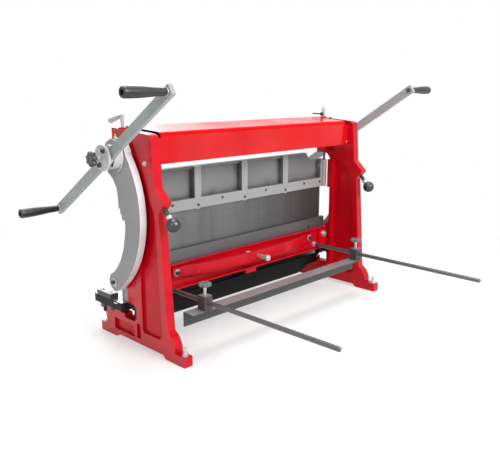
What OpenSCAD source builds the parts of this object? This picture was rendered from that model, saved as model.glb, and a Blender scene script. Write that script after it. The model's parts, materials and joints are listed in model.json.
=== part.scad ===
// Combination sheet metal machine: shear, press brake and slip rolls
// between two cast end frames, worked by hand cranks on both sides.
// X runs along the working length, +Y is the side where sheet goes in,
// -Y is the side of the back gauge, and the floor is at Z = 0.

/* [End frames] */
// clear gap between the two end frames, in mm
span = 790; // [600:10:1000]
// thickness of one end frame
frame_t = 25.6; // [22:0.2:30]
// diameter of the tapped holes in the four feet
foot_hole_d = 8; // [6:0.5:12]
// distance of a foot hole from the middle of the foot, front and back
foot_hole_y = 170; // [164:1:174]

/* [Crank and eccentric] */
// diameter of the shaft where it runs in the frames
shaft_d = 24; // [18:1:26]
// offset of the eccentric from the shaft axis
throw = 22; // [18:1:23]
// diameter of the eccentric disc
disc_d = 72; // [70:1:74]
// reach of one crank arm from the shaft axis to its grip
arm_reach = 290; // [230:5:330]
// width of a crank arm
arm_w = 25; // [20:1:30]
// thickness of a crank arm
arm_t = 12; // [8:1:14]
// largest diameter of a grip
grip_d = 25; // [21:1:30]

/* [Rolls] */
// diameter of the three slip rolls
roll_d = 44; // [38:1:44]
// number of teeth on each roll gear
gear_teeth = 17; // [15:1:21]

/* [Ram] */
// thickness of a crescent link
link_t = 19.5; // [16:0.5:24]
// thickness of the steel plate of the ram
plate_t = 10; // [6:1:10]
// diameter of the two guide rods of the ram
guide_d = 8; // [6:0.5:10]

/* [Bed and back gauge] */
// thickness of the table
table_t = 22; // [18:1:24]
// diameter of the back gauge rods
rod_d = 12; // [10:1:14]
// reach of the back gauge rods behind the frames
rod_reach = 574; // [400:5:700]
// width of each leg of the gauge bar
leg_w = 39; // [30:1:42]
// diameter of the ball knobs
ball_d = 35; // [28:1:40]

/* [Hidden] */
$fn = 64;

// small named gaps: running fit of a shaft, sliding gap, air gap
run = 0.05;
slide = 0.3;
air = 1;

// planes of one side, as distances from the middle of the machine
half = span / 2;
outer = half + frame_t;
link_in = outer + 6.9;
link_out = link_in + link_t;
cap_in = link_out + 0.6;
cap_out = cap_in + 5.4;
hub_in = cap_out;
arm_in = hub_in + 21;
arm_out = arm_in + arm_t;
flange_in = arm_out + 6;
flange_out = flange_in + 5.5;
grip_in = arm_out + 4.3;
grip_len = 107;

// places on the frames
foot_x = (half + outer) / 2;
ring_wall = 8;
nipple_y = 46;

// shaft axis, eccentric and arm direction in the side view
hub_y = 17;
hub_z = 503;
ecc_y = hub_y + throw;
arm_tilt = 32.6;
shaft_r = shaft_d / 2;
disc_r = disc_d / 2;

// rolls around the shaft axis
roll_r = roll_d / 2;
pinch_y = hub_y - 38.1;
pinch_z = hub_z + 23;
rear_y = 60;
rear_z = 528;
journal_r = 10;
bore_end = outer - 5;
roll_half = half - 23;
gear_in = half - 19;
gear_out = half - 7;
roll_gap = sqrt(pow(hub_y - pinch_y, 2) + pow(pinch_z - hub_z, 2));
line_tilt = atan2(pinch_z - hub_z, pinch_y - hub_y);

// heights of the working parts
table_top = 112;
table_low = table_top - table_t;
groove_y = 98;
ram_top = 455;
lip_low = 337;
lip_top = 367;
shoulder = 429;
guide_low = 376;
guide_top = 473;
pin_y = 64.5;
pin_z = 171;

// lengths of the working parts, measured from the middle
ram_half = half - 22;
plate_half = half - 19.5;
guide_x = half - 12;
rod_x = half - 70;
bow_half = half - 95;
bow_sag = 38.3;
bow_t = 8;
notch = 41;
end_rib = 7;
bay = (ram_half - 3) / 2;
pitch = (half - 35) / 4;
clamp_screw_x = half - 90.5;
lever_y = 56;
lever_z = 568;
elbow = 32;
lever_len = 53;
rail_t = 13;
inner_pocket = 11;
gauge_y = -158;
rod_z = 141;

// helper: extrude a side view drawn in (Y, Z) from x0 to x1
module side_view(x0, x1) {
  translate([x0, 0, 0]) rotate([90, 0, 90])
    linear_extrude(height = x1 - x0) children();
}

// helper: a rod along X at (y, z)
module rod_x(x0, x1, y, z, r) {
  translate([x0, y, z]) rotate([0, 90, 0]) cylinder(r = r, h = x1 - x0);
}

// helper: a rod along Y at (x, z)
module rod_y(y0, y1, x, z, r) {
  translate([x, y1, z]) rotate([90, 0, 0]) cylinder(r = r, h = y1 - y0);
}

// helper: the same thing on both sides of the machine
module both_sides() {
  children();
  mirror([1, 0, 0]) children();
}

// helper: a box given by its corner values
module block(x0, x1, y0, y1, z0, z1) {
  translate([x0, y0, z0]) cube([x1 - x0, y1 - y0, z1 - z0]);
}

// helper: hexagon along X, used for nuts and bolt heads
module hex_x(x0, x1, y, z, r) {
  translate([x0, y, z]) rotate([0, 90, 0]) cylinder(r = r, h = x1 - x0, $fn = 6);
}

// helper: hexagon along Y
module hex_y(y0, y1, x, z, r) {
  translate([x, y1, z]) rotate([90, 0, 0]) cylinder(r = r, h = y1 - y0, $fn = 6);
}

// helper: socket head screw seen from -Y, head front at y0
module cap_screw_y(y0, x, z, r, h) {
  difference() {
    rod_y(y0, y0 + h, x, z, r);
    hex_y(y0 - 1, y0 + h * 0.6, x, z, r * 0.55);
  }
}

// outline of one end frame, in (Y, Z)
module frame_outline() {
  difference() {
    union() {
      polygon([[-183, 0], [-108, 0], [-98, 9], [89, 9], [112, 0], [183, 0],
        [183, 26], [156, 26], [153, 36], [153, table_low], [84, table_low],
        [84, 76], [66, 76], [66, 66], [22, 66], [12, 76], [12, 101], [23, 112], [46, 112],
        [48, 150], [45, 177], [34, 195], [19, 208], [13.5, 222], [13.5, 430],
        [20, 444], [30, 450], [50, 453], [72, 463], [83, 471], [87, 482],
        [87, 570], [-63, 558.8], [-68.4, 557.7], [-72.9, 554.7], [-75.9, 550.2],
        [-77, 544.8], [-85, 431],
        [-116, 401.5], [-117, 398], [-116, 395], [-96, 372], [-118, 76],
        [-146, 40], [-146, 26], [-183, 26]]);
      intersection() {
        translate([-96, 30]) circle(r = 50);
        translate([-150, 9]) square([80, 80]);
      }
    }
  }
}

// one end frame as cast, for the +X side
module end_frame() {
  difference() {
    union() {
      side_view(half, outer) frame_outline();
      // rail down the inner face, wider beside the ram
      side_view(half - rail_t, half) polygon([[-9, 46], [3, 46],
        [3, lip_low - 2], [14, lip_low - 2], [14, 430], [-9, 430]]);
      // boss under the lever screw
      lever_place() translate([0, 0, -8]) cylinder(r = 11, h = 11);
      // lug that holds the guide rod of the ram
      block(half - 27, half, 16, 50, 454.4, 473);
    }
    // main pocket in the outer face, behind the front flange
    side_view(outer - 7, outer + 1)
      polygon([[-98, 62], [-86, 46], [-22, 46], [-14, 54], [-14, 400],
        [0, 425], [0, 470], [-7, 488], [-5, 510], [-12, 500.5],
        [-33, 464], [-53, 420], [-73, 381], [-81, 366]]);
    // hollow in the top of the head, open to the rolls
    block(half - 1, outer - 4.5, -64, 38, 544, 580);
    // short pocket at the foot of the outer rib
    side_view(outer - 7, outer + 1)
      polygon([[-5, 24], [12, 24], [12, 60], [9, 64], [-2, 64], [-5, 60]]);
    // low pocket above the rear foot
    side_view(outer - 8, outer + 1)
      polygon([[24, 22], [112, 22], [116, 27], [116, 50], [112, 54],
        [28, 54], [24, 50]]);
    // pocket in the inner face, from the rail to the front flange
    side_view(half - 1, half + inner_pocket)
      polygon([[-100, 62], [-88, 46], [-9, 46], [-9, 431], [-16, 431],
        [-46, 418], [-72, 388], [-78, 323]]);
    // bores for the shaft and the two other rolls
    rod_x(half - 1, outer + 1, hub_y, hub_z, shaft_r + 5);
    rod_x(half - 1, bore_end, pinch_y, pinch_z, journal_r + 4);
    rod_x(half - 1, bore_end, rear_y, rear_z, journal_r + 4);
    // hole for the guide rod
    translate([guide_x, 30, 450]) cylinder(d = guide_d, h = 30);
    // holes in the feet
    for (y = [-foot_hole_y, foot_hole_y])
      translate([foot_x, y, -1]) cylinder(d = foot_hole_d, h = 40);
    // tapped hole of the ball screw in the nose
    ball_place() translate([0, 0, -50]) cylinder(r = 6 + run, h = 80);
    // hole of the lever screw in the head
    lever_place() translate([0, 0, -22]) cylinder(r = 4 + run, h = 40);
    // seat of the locating pin
    rod_x(outer - 10, outer + 1, -51, 489, 4);
  }
}

// place of a ball screw: at the nose, pointing down and to the back gauge
module ball_place() {
  translate([half + frame_t / 2, -105, 383.5]) rotate([137, 0, 0]) children();
}

// place of a lever screw on top of the head
module lever_place() {
  translate([half + frame_t / 2, lever_y, lever_z]) children();
}

module frame_left() {
  color([0.75, 0.05, 0.07]) mirror([1, 0, 0]) end_frame();
}

module frame_right() {
  color([0.75, 0.05, 0.07]) end_frame();
}

// bent guard over the rolls: front wall, round corner and sloping top
module roll_guard() {
  guard_half = half - 15;
  color([0.85, 0.06, 0.08]) {
    difference() {
      union() {
        side_view(-guard_half, guard_half) guard_section();
        both_sides() side_view(guard_half, half) polygon([[-57, 486],
          [-50, 486], [-50, 546], [-57, 546]]);
      }
      both_sides() rod_y(-60, -45, half - 6, 494, 2);
    }
  }
}

// small screws in the end tabs of the guard
module guard_screws() {
  color([0.2, 0.2, 0.21]) both_sides() {
    rod_y(-57, -48, half - 6, 494, 2);
    cap_screw_y(-59, half - 6, 494, 3.6, 2);
  }
}

module guard_section() {
  difference() {
    union() {
      translate([-57, 484]) square([3, 68]);
      translate([-44, 549]) circle(r = 13);
      polygon([[-44, 562], [84, 570.5], [86, 569], [86, 567], [-44, 558.5]]);
      polygon([[-57, 549], [-54, 549], [-44, 558], [-44, 562], [-50, 558]]);
    }
    translate([-44, 549]) circle(r = 10);
    polygon([[-54, 470], [-54, 549], [-44, 558.9], [84, 567.4], [90, 540],
      [90, 470]]);
  }
}

// bronze bushings of the three rolls
module roll_bushings() {
  color([0.72, 0.52, 0.25]) both_sides() {
    bushing(hub_y, hub_z, shaft_r, outer);
    bushing(pinch_y, pinch_z, journal_r, bore_end);
    bushing(rear_y, rear_z, journal_r, bore_end);
  }
}

module bushing(y, z, r, end) {
  wall = (r == shaft_r) ? 5 : 4;
  difference() {
    union() {
      rod_x(half, end, y, z, r + wall);
      rod_x(half - 2, half, y, z, r + wall + 2);
    }
    rod_x(half - 3, outer + 1, y, z, r + run);
  }
}

// fixed red beam between the frames, with a foot flange and a middle tab
module bed_beam() {
  color([0.78, 0.05, 0.07]) difference() {
    union() {
      side_view(-half, half)
        polygon([[20, 126], [26, 126], [26, 197], [14, 197], [14, 192],
          [20, 190]]);
      side_view(-half + 18, half - 18)
        polygon([[4, 126], [20, 126], [20, 131.5], [5, 130]]);
      block(-22, 22, 4, 9, 113.5, 128);
    }
    both_sides() {
      rod_y(0, 30, rod_x, rod_z, rod_d / 2);
      rod_y(0, 30, half - 33, 174, 5);
      rod_y(10, 30, bow_half - 15, 173, 4);
    }
  }
}

// pads welded on the ends of the beam, under the heads of its bolts
module beam_pads() {
  color([0.78, 0.05, 0.07]) both_sides() difference() {
    block(half - 54, half, 9, 20, 132, 190);
    rod_y(0, 30, half - 33, 174, 5);
  }
}

// bar bowed away from the beam, pulled straight by the middle bolt
bow_r = (bow_half * bow_half + bow_sag * bow_sag) / (2 * bow_sag);
module camber_bar() {
  color([0.82, 0.06, 0.08]) difference() {
    union() {
      intersection() {
        translate([0, 20 - bow_sag + bow_r, 158]) difference() {
          cylinder(r = bow_r + bow_t, h = 30, $fn = 180);
          translate([0, 0, -1]) cylinder(r = bow_r, h = 32, $fn = 180);
        }
        block(-bow_half, bow_half, -40, 20, 150, 200);
      }
      both_sides() block(bow_half - 30, bow_half, 8, 20, 158, 188);
    }
    // flat seats of the washers
    both_sides() block(bow_half - 30, bow_half + 1, -5, 8, 157, 189);
    both_sides() rod_y(0, 30, bow_half - 15, 173, 4);
    rod_y(-40, 0, 0, 173, 6 + run);
  }
}

// socket screws with washers at the two ends of the bowed bar
module camber_screws() {
  color([0.16, 0.16, 0.17]) both_sides() {
    x = bow_half - 15;
    cap_screw_y(-2, x, 173, 6.5, 8);
    rod_y(6, 8, x, 173, 10);
    rod_y(8, 26, x, 173, 4);
  }
}

// bolt in the middle of the bowed bar
module camber_bolt() {
  color([0.78, 0.79, 0.8]) {
    rod_y(-61, 20 - slide, 0, 173, 6);
    hex_y(-69, -61, 0, 173, 10);
    rod_y(-70, -69, 0, 173, 8);
  }
}

// hexagon bolts that hold the beam pads to the frames
module beam_bolts() {
  color([0.78, 0.79, 0.8]) both_sides() {
    rod_y(9, 26, half - 33, 174, 5);
    rod_y(7, 9, half - 33, 174, 11);
    hex_y(0, 7, half - 33, 174, 9);
  }
}

// table with a V groove for bending and slots for the ears of the ram
ear_in = half + 3;
ear_out = outer - 2.4;
ear_y0 = 52;
ear_y1 = 78;
table_half = outer + 17.4;
clamp_x = table_half - 9;
module table() {
  color([0.12, 0.12, 0.13]) difference() {
    union() {
      block(-half + 2, half - 2, 68, 182, table_low, table_top);
      both_sides() block(half - 2, table_half, 51, 182, table_low, table_top);
      // stiff apron below the front edge
      block(-half + 8, half - 8, 68, 80, table_low - 16, table_low);
      // bosses for the levelling screws
      both_sides() translate([foot_x, foot_hole_y, 56])
        cylinder(r = 11, h = table_low - 56);
      // claws that hook into the windows of the frames
      both_sides() side_view(ear_in - 1, ear_out + 2)
        polygon([[51.4, table_low], [51.4, 111.6], [23.6, 111.6],
          [12.8, 100.8], [12.8, 79], [16.4, 73], [20, 70.5], [20.5, 97],
          [27.5, 103.5], [46, 103.5]]);
    }
    both_sides() translate([foot_x, foot_hole_y, 55])
      cylinder(d = foot_hole_d, h = table_low - 60);
    // groove for the punches
    side_view(-half + 2, half - 2)
      polygon([[groove_y - 11, table_top + 1], [groove_y, table_top - 11],
        [groove_y + 11, table_top + 1]]);
    // slots of the ears
    both_sides() block(ear_in - slide, ear_out + slide, ear_y0 - 0.6,
      ear_y1 + 0.6, table_low - 1, table_top + 1);
    // round corners at the outer ends
    both_sides() table_corner();
    // holes of the clamp bolts
    both_sides() for (y = [116, 156])
      translate([clamp_x, y, table_low - 1]) cylinder(r = 4, h = table_t + 2);
  }
}

module table_corner() {
  difference() {
    block(table_half - 8, table_half + 1, 50, 59, table_low - 1, table_top + 1);
    translate([table_half - 8, 59, table_low - 2]) cylinder(r = 8, h = table_t + 4);
  }
}

// fixed blade on the front edge of the table
module lower_blade() {
  color([0.6, 0.61, 0.63]) block(-half + 15, half - 15, 58.3, 68,
    table_top - 20, table_top);
}

// blocks on the two ends of the table
module table_clamps() {
  color([0.14, 0.14, 0.15]) both_sides() difference() {
    block(table_half - 24, table_half + 1.6, 102, 168, table_top,
      table_top + 14);
    for (y = [116, 156])
      translate([clamp_x, y, table_top - 1]) cylinder(r = 4, h = 20);
  }
}

// bolts of those blocks, with a round nut below the table
module clamp_bolts() {
  color([0.2, 0.2, 0.21]) both_sides() for (y = [116, 156])
    translate([clamp_x, y, 0]) {
      translate([0, 0, table_low - 12]) cylinder(r = 4, h = table_t + 26);
      difference() {
        translate([0, 0, table_top + 14]) cylinder(r = 6.5, h = 3);
        translate([0, 0, table_top + 16]) cylinder(r = 3.4, h = 3, $fn = 6);
      }
      difference() {
        translate([0, 0, table_low - 14]) cylinder(r = 7, h = 14);
        translate([0, 0, table_low - 12]) cylinder(r = 4, h = 20);
      }
    }
}

// chute below the blades, bent down to the feeding side
module chute() {
  chute_half = half - 45;
  color([0.1, 0.1, 0.11]) {
    side_view(-chute_half, chute_half)
      polygon([[10, 110], [13.5, 111], [46, 79], [82, 42], [113, 15],
        [111, 12.5], [79.5, 39.5], [43.5, 76.5]]);
    both_sides() side_view(chute_half - 24, half)
      polygon([[49, 76], [70, 54.3], [72.2, 56.5], [51.2, 78.2]]);
  }
}

// rods of the back gauge
module gauge_rods() {
  color([0.2, 0.2, 0.21]) both_sides() {
    rod_y(-rod_reach, 26, rod_x, rod_z, rod_d / 2);
  }
}

// lock nuts of those rods
module rod_nuts() {
  color([0.7, 0.71, 0.72]) both_sides() difference() {
    hex_y(11, 20, rod_x, rod_z, rod_d * 0.8);
    rod_y(10, 21, rod_x, rod_z, rod_d / 2);
  }
}

// guide rods of the ram, fixed in the lugs of the frames
module guide_rods() {
  color([0.22, 0.22, 0.23]) both_sides() translate([guide_x, 30, guide_low])
    cylinder(d = guide_d, h = guide_top - guide_low);
}

// grease nipples on top of the links, where the eccentric turns
module nipple_place() {
  translate([(link_in + link_out) / 2, nipple_y,
    hub_z + disc_r + ring_wall - 1.6]) children();
}

module grease_nipples() {
  color([0.83, 0.62, 0.2]) both_sides() nipple_place() {
    translate([0, 0, -4.6]) cylinder(r = 3, h = 6);
    cylinder(r = 4.6, h = 4, $fn = 6);
    translate([0, 0, 3]) cylinder(r = 2.3, h = 4);
    translate([0, 0, 7.4]) sphere(r = 2.8);
  }
}

// studs with nuts standing in the front feet
module foot_studs() {
  color([0.75, 0.76, 0.77]) both_sides() translate([foot_x, -foot_hole_y, 0]) {
    translate([0, 0, 8]) cylinder(d = foot_hole_d, h = 39);
    stud_nut(26);
  }
}

// screws that stand in the rear feet and carry the ends of the table
module levelling_screws() {
  color([0.75, 0.76, 0.77]) both_sides() translate([foot_x, foot_hole_y, 0]) {
    translate([0, 0, 8]) cylinder(d = foot_hole_d, h = table_low - 13);
    stud_nut(26);
    difference() {
      translate([0, 0, 44]) cylinder(r = foot_hole_d * 0.9, h = 7, $fn = 6);
      translate([0, 0, 43]) cylinder(d = foot_hole_d, h = 9);
    }
  }
}

// washer and nut on a stud, lying on the height z
module stud_nut(z) {
  difference() {
    union() {
      translate([0, 0, z]) cylinder(r = foot_hole_d * 1.1, h = 1.6);
      translate([0, 0, z + 1.6]) cylinder(r = foot_hole_d * 0.93, h = 6.5, $fn = 6);
    }
    translate([0, 0, z - 1]) cylinder(d = foot_hole_d, h = 10);
  }
}

// locating pins, nearly flush with the outer faces
module frame_pins() {
  color([0.85, 0.85, 0.85]) both_sides() {
    rod_x(outer - 10, outer, -51, 489, 4);
    rod_x(outer, outer + 1.4, -51, 489, 6.4);
    hex_x(outer + 1.4, outer + 5, -51, 489, 5.6);
  }
}

// driven roll and shaft in one piece, from hub to hub
module drive_roll() {
  color([0.75, 0.76, 0.78]) {
    rod_x(-flange_in, flange_in, hub_y, hub_z, shaft_r);
    difference() {
      rod_x(-roll_half, roll_half, hub_y, hub_z, roll_r);
      rod_x(-roll_half - 1, roll_half + 1, hub_y, hub_z, shaft_r);
    }
    both_sides() difference() {
      rod_x(outer + 0.4, link_in - 1, hub_y, hub_z, shaft_r + 6);
      rod_x(outer, link_in, hub_y, hub_z, shaft_r);
    }
  }
}

// flank of a gear tooth: half tooth angle at a given radius
gear_m = roll_gap / gear_teeth;
base_r = roll_gap / 2 * cos(20);
function inv_at(r) = tan(acos(base_r / r)) * 180 / PI - acos(base_r / r);
function half_tooth(r) = (90 - 5.5) / gear_teeth
  + inv_at(roll_gap / 2) - inv_at(max(r, base_r + 0.001));
function tooth_side(i, r, s) = [r * cos(i * 360 / gear_teeth
  + s * half_tooth(r)), r * sin(i * 360 / gear_teeth + s * half_tooth(r))];

module gear_outline() {
  r0 = roll_gap / 2 - 1.22 * gear_m;
  r1 = base_r + 0.001;
  r2 = roll_gap / 2 - 0.4 * gear_m;
  r3 = roll_gap / 2 + 0.1 * gear_m;
  r4 = roll_gap / 2 + 0.55 * gear_m;
  r5 = roll_gap / 2 + 0.92 * gear_m;
  polygon([for (i = [0:gear_teeth - 1]) each [
    tooth_side(i, r0, -1), tooth_side(i, r2, -1), tooth_side(i, r3, -1),
    tooth_side(i, r4, -1), tooth_side(i, r5, -1), tooth_side(i, r5, 1),
    tooth_side(i, r4, 1), tooth_side(i, r3, 1), tooth_side(i, r2, 1),
    tooth_side(i, r0, 1)]]);
}

// gear on the driven roll, a tooth pointing at the pinch roll
module drive_gear() {
  color([0.45, 0.46, 0.48]) difference() {
    side_view(-gear_out, -gear_in) translate([hub_y, hub_z])
      rotate(line_tilt) gear_outline();
    rod_x(-gear_out - 1, -gear_in + 1, hub_y, hub_z, shaft_r);
  }
}

// gear on the pinch roll, a gap pointing back at the driven roll
module pinch_gear() {
  color([0.45, 0.46, 0.48]) difference() {
    side_view(-gear_out, -gear_in) translate([pinch_y, pinch_z])
      rotate(line_tilt + 180 + 180 / gear_teeth) gear_outline();
    rod_x(-gear_out - 1, -gear_in + 1, pinch_y, pinch_z, journal_r);
  }
}

module plain_roll(y, z) {
  rod_x(-bore_end + 1, bore_end - 1, y, z, journal_r);
  difference() {
    rod_x(-roll_half, roll_half, y, z, roll_r);
    rod_x(-roll_half - 1, roll_half + 1, y, z, journal_r);
  }
}

module pinch_roll() {
  color([0.75, 0.76, 0.78]) plain_roll(pinch_y, pinch_z);
}

module rear_roll() {
  color([0.75, 0.76, 0.78]) plain_roll(rear_y, rear_z);
}

// eccentric discs with a flange that keeps the links on
module eccentrics() {
  color([0.4, 0.4, 0.42]) both_sides() difference() {
    union() {
      rod_x(link_in - 1, cap_in, ecc_y, hub_z, disc_r);
      rod_x(cap_in, cap_out, ecc_y, hub_z, disc_r + 5);
    }
    rod_x(link_in - 2, cap_out + 1, hub_y, hub_z, shaft_r);
  }
}

// crank hub: boss, waist where the arms are welded, and end flange
module hub() {
  difference() {
    union() {
      rod_x(hub_in, arm_in, ecc_y - 12, hub_z, 30);
      rod_x(arm_in, flange_in, hub_y, hub_z, shaft_r + 5);
      rod_x(flange_in, flange_out, hub_y, hub_z, 32);
    }
    rod_x(hub_in - 1, flange_in, hub_y, hub_z, shaft_r);
    arm_bars(0);
  }
}

module hub_left() {
  color([0.72, 0.73, 0.74]) mirror([1, 0, 0]) difference() {
    hub();
    rod_x(flange_in, flange_out + 1, hub_y, hub_z, 5 + run);
  }
}

module hub_right() {
  color([0.72, 0.73, 0.74]) hub();
}

// two socket screws in each hub flange
module hub_screws() {
  color([0.13, 0.13, 0.14]) both_sides() for (a = [118, 298])
    translate([flange_out, hub_y + 20 * cos(a), hub_z + 20 * sin(a)])
      rotate([0, 90, 0]) difference() {
        cylinder(r = 6, h = 5);
        translate([0, 0, 2]) cylinder(r = 3.2, h = 4, $fn = 6);
      }
}

// the two arms of one side as plain bars, opposite each other
module arm_bars(r0) {
  for (a = [180 - arm_tilt, -arm_tilt])
    translate([0, hub_y, hub_z]) rotate([a, 0, 0])
      block(arm_in, arm_out, r0, arm_reach + 12, -arm_w / 2, arm_w / 2);
}

module crank_arms() {
  color([0.7, 0.71, 0.72]) both_sides() difference() {
    arm_bars(0);
    rod_x(arm_in - 1, arm_out + 1, hub_y, hub_z, shaft_r);
    for (a = [180 - arm_tilt, -arm_tilt])
      grip_place(a) translate([0, 0, arm_in - 1]) cylinder(r = 5, h = arm_t + 2);
  }
}

// place of a grip on the +X side, its axis turned into +Z
module grip_place(a) {
  translate([0, hub_y + arm_reach * cos(a), hub_z + arm_reach * sin(a)])
    rotate([0, 90, 0]) children();
}

// screws on which the grips turn, with a low socket head inside
module grip_pins() {
  color([0.15, 0.15, 0.16]) both_sides() for (a = [180 - arm_tilt, -arm_tilt])
    grip_place(a) {
      difference() {
        translate([0, 0, arm_in - 3]) cylinder(r = 7, h = 3);
        translate([0, 0, arm_in - 4]) cylinder(r = 3.6, h = 3, $fn = 6);
      }
      translate([0, 0, arm_in]) cylinder(r = 5, h = grip_in - arm_in + grip_len - 12);
    }
}

// washers between the arms and the grips
module grip_washers() {
  color([0.8, 0.81, 0.82]) both_sides() for (a = [180 - arm_tilt, -arm_tilt])
    grip_place(a) difference() {
      translate([0, 0, arm_out]) cylinder(r = 9, h = grip_in - arm_out - slide);
      translate([0, 0, arm_out - 1]) cylinder(r = 5, h = 9);
    }
}

// turning grip: slim at the arm, full at the end
module grip(a) {
  grip_place(a) translate([0, 0, grip_in]) rotate_extrude() difference() {
    union() {
      polygon([[0, 0], [7.5, 0], [8.4, 2], [grip_d * 0.37, 20],
        [grip_d * 0.46, 55], [grip_d / 2, 84], [grip_d / 2, 98],
        [grip_d * 0.44, 104], [grip_d * 0.3, grip_len], [0, grip_len]]);
    }
    translate([-1, -1]) square([6 + run, grip_len - 10]);
  }
}

module grip_left_up() {
  color([0.06, 0.06, 0.07]) mirror([1, 0, 0]) grip(180 - arm_tilt);
}

module grip_left_down() {
  color([0.06, 0.06, 0.07]) mirror([1, 0, 0]) grip(-arm_tilt);
}

module grip_right_up() {
  color([0.06, 0.06, 0.07]) grip(180 - arm_tilt);
}

module grip_right_down() {
  color([0.06, 0.06, 0.07]) grip(-arm_tilt);
}

// lobed knob, used for the clutch and the gauge
module star_knob(r, h) {
  difference() {
    cylinder(r = r, h = h);
    for (i = [0:6]) rotate(i * 360 / 7)
      translate([r + 1, 0, -1]) cylinder(r = r * 0.28, h = h + 2);
  }
}

// star knob of the clutch, on a stud that turns in the left hub
module clutch_knob() {
  color([0.12, 0.12, 0.13]) mirror([1, 0, 0])
    translate([0, hub_y, hub_z]) rotate([0, 90, 0]) {
      translate([0, 0, flange_in + 0.2]) cylinder(r = 5, h = 26);
      translate([0, 0, flange_in + 20]) cylinder(r = 9, h = 6);
      translate([0, 0, flange_in + 26]) star_knob(19, 13);
    }
}

// ribbed upper casting of the ram
module ram_casting() {
  color([0.62, 0.63, 0.64]) difference() {
    union() {
      // back wall with sloping shoulders
      translate([0, 60, 0]) rotate([90, 0, 0]) linear_extrude(height = 10)
        polygon([[-ram_half, lip_low], [ram_half, lip_low],
          [ram_half, shoulder], [ram_half - notch, shoulder],
          [ram_half - notch - 22, ram_top - 3],
          [ram_half - notch - 30, ram_top], [-ram_half + notch + 30, ram_top],
          [-ram_half + notch + 22, ram_top - 3],
          [-ram_half + notch, shoulder], [-ram_half, shoulder]]);
      // lip with the slot for the plate behind it
      side_view(-ram_half, ram_half) polygon([[30, lip_low],
        [50 - plate_t, lip_low], [50 - plate_t, lip_top - 7],
        [50, lip_top - 7], [50, lip_top + 2], [36, lip_top],
        [30, lip_top]]);
      // top flange
      side_view(-ram_half + notch + 30, ram_half - notch - 30)
        polygon([[40, ram_top - 7],
        [50, ram_top - 9], [50, ram_top], [40, ram_top]]);
      // ribs
      for (x = [-bay, 0, bay]) {
        block(x - 12, x + 12, 30, 50, lip_top, ram_top);
        rod_y(30, 36, x, lip_low + 9, 12);
      }
      both_sides() block(ram_half - end_rib, ram_half, 30, 50, lip_top, shoulder);
      both_sides() rod_x(ram_half - end_rib - 4, ram_half - 1, 41, shoulder - 21, 6.5);
      // bosses that run on the guide rods
      both_sides() {
        translate([guide_x, 30, lip_low]) cylinder(r = 9, h = shoulder - 1 - lip_low);
        block(ram_half - 6, guide_x, 32, 44, lip_low + 4, shoulder + 2);
      }
    }
    both_sides() translate([guide_x, 30, lip_low - 1])
      cylinder(r = guide_d / 2 + run, h = shoulder - lip_low + 12);
    // the slot stays open at the ribs
    block(-plate_half, plate_half, 50 - plate_t, 50, lip_low - 20, lip_top - 7);
    // screw holes along the lip
    lip_holes(3);
  }
}

// places of the screws along the lip
module lip_holes(r) {
  for (i = [0:1]) both_sides() rod_y(29, 50, (i + 0.5) * bay, lip_low + 19, r);
  for (x = [-bay, 0, bay]) rod_y(29, 50, x, lip_low + 9, r);
  both_sides() rod_y(29, 50, ram_half - 12, lip_low + 17, r);
}

// brushed steel plate of the ram
module ram_plate() {
  color([0.36, 0.37, 0.38]) difference() {
    block(-plate_half, plate_half, 50 - plate_t, 50, 172, lip_top - 7);
    lip_holes(3);
  }
}

// bar that clamps the plate to the ram beam
module blade_clamp() {
  color([0.4, 0.41, 0.42]) difference() {
    block(-half + 9, half - 9, 28, 50 - plate_t, 172, 231);
    // countersunk seats of its screws
    both_sides() rod_y(27, 42, clamp_screw_x, 205, 2.5);
    both_sides() rod_y(27, 31, clamp_screw_x, 205, 4.2);
  }
}

// lower beam of the ram, reaching past the frames with an ear at each end
module ram_beam() {
  color([0.5, 0.51, 0.52]) difference() {
    union() {
      side_view(-half - 6, half + 6) polygon([[50, 172], [58, 172],
        [58, 158], [74, 158], [74, 204], [50, 204]]);
      both_sides() {
        block(ear_in, ear_out, ear_y0, ear_y1, 98, 192);
      }
    }
    both_sides() rod_x(half, outer, pin_y, pin_z, 6);
    // slot in the outer face of each ear
    both_sides() block(ear_out - 3, ear_out + 1, 69.5, 73, 119, 141);
    for (i = [0:3]) both_sides()
      rod_y(57, 70, (i + 0.5) * pitch, 165, 3);
  }
}

// moving blade, its lower edge rising slightly along its length
module upper_blade() {
  blade_half = half - 15;
  color([0.62, 0.63, 0.65]) difference() {
    translate([0, 58, 0]) rotate([90, 0, 0]) linear_extrude(height = 10)
      polygon([[-blade_half, 113.5], [blade_half, 122], [blade_half, 172],
        [-blade_half, 172]]);
    for (i = [0:3]) both_sides()
      rod_y(47, 60, (i + 0.5) * pitch, 165, 3);
  }
}

// bar that clamps the punches to the back of the ram beam
module punch_clamp() {
  color([0.45, 0.46, 0.47]) block(-half + 20, half - 20, 74, 86, 166, 204);
}

// bending punches of different widths, side by side
punch_cuts = [0, 0.14, 0.3, 0.42, 0.56, 0.7, 0.8, 0.88, 0.94, 1];
module punches() {
  w = span - 44;
  color([0.5, 0.51, 0.53])
    for (i = [0:8])
      side_view(-w / 2 + w * punch_cuts[i] + 0.4, -w / 2 + w * punch_cuts[i + 1] - 0.4)
        polygon([[86, 140], [93, 134], [97.6, 119], [98.4, 119], [103, 134],
          [104, 140], [104, 196], [86, 196]]);
}

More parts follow.
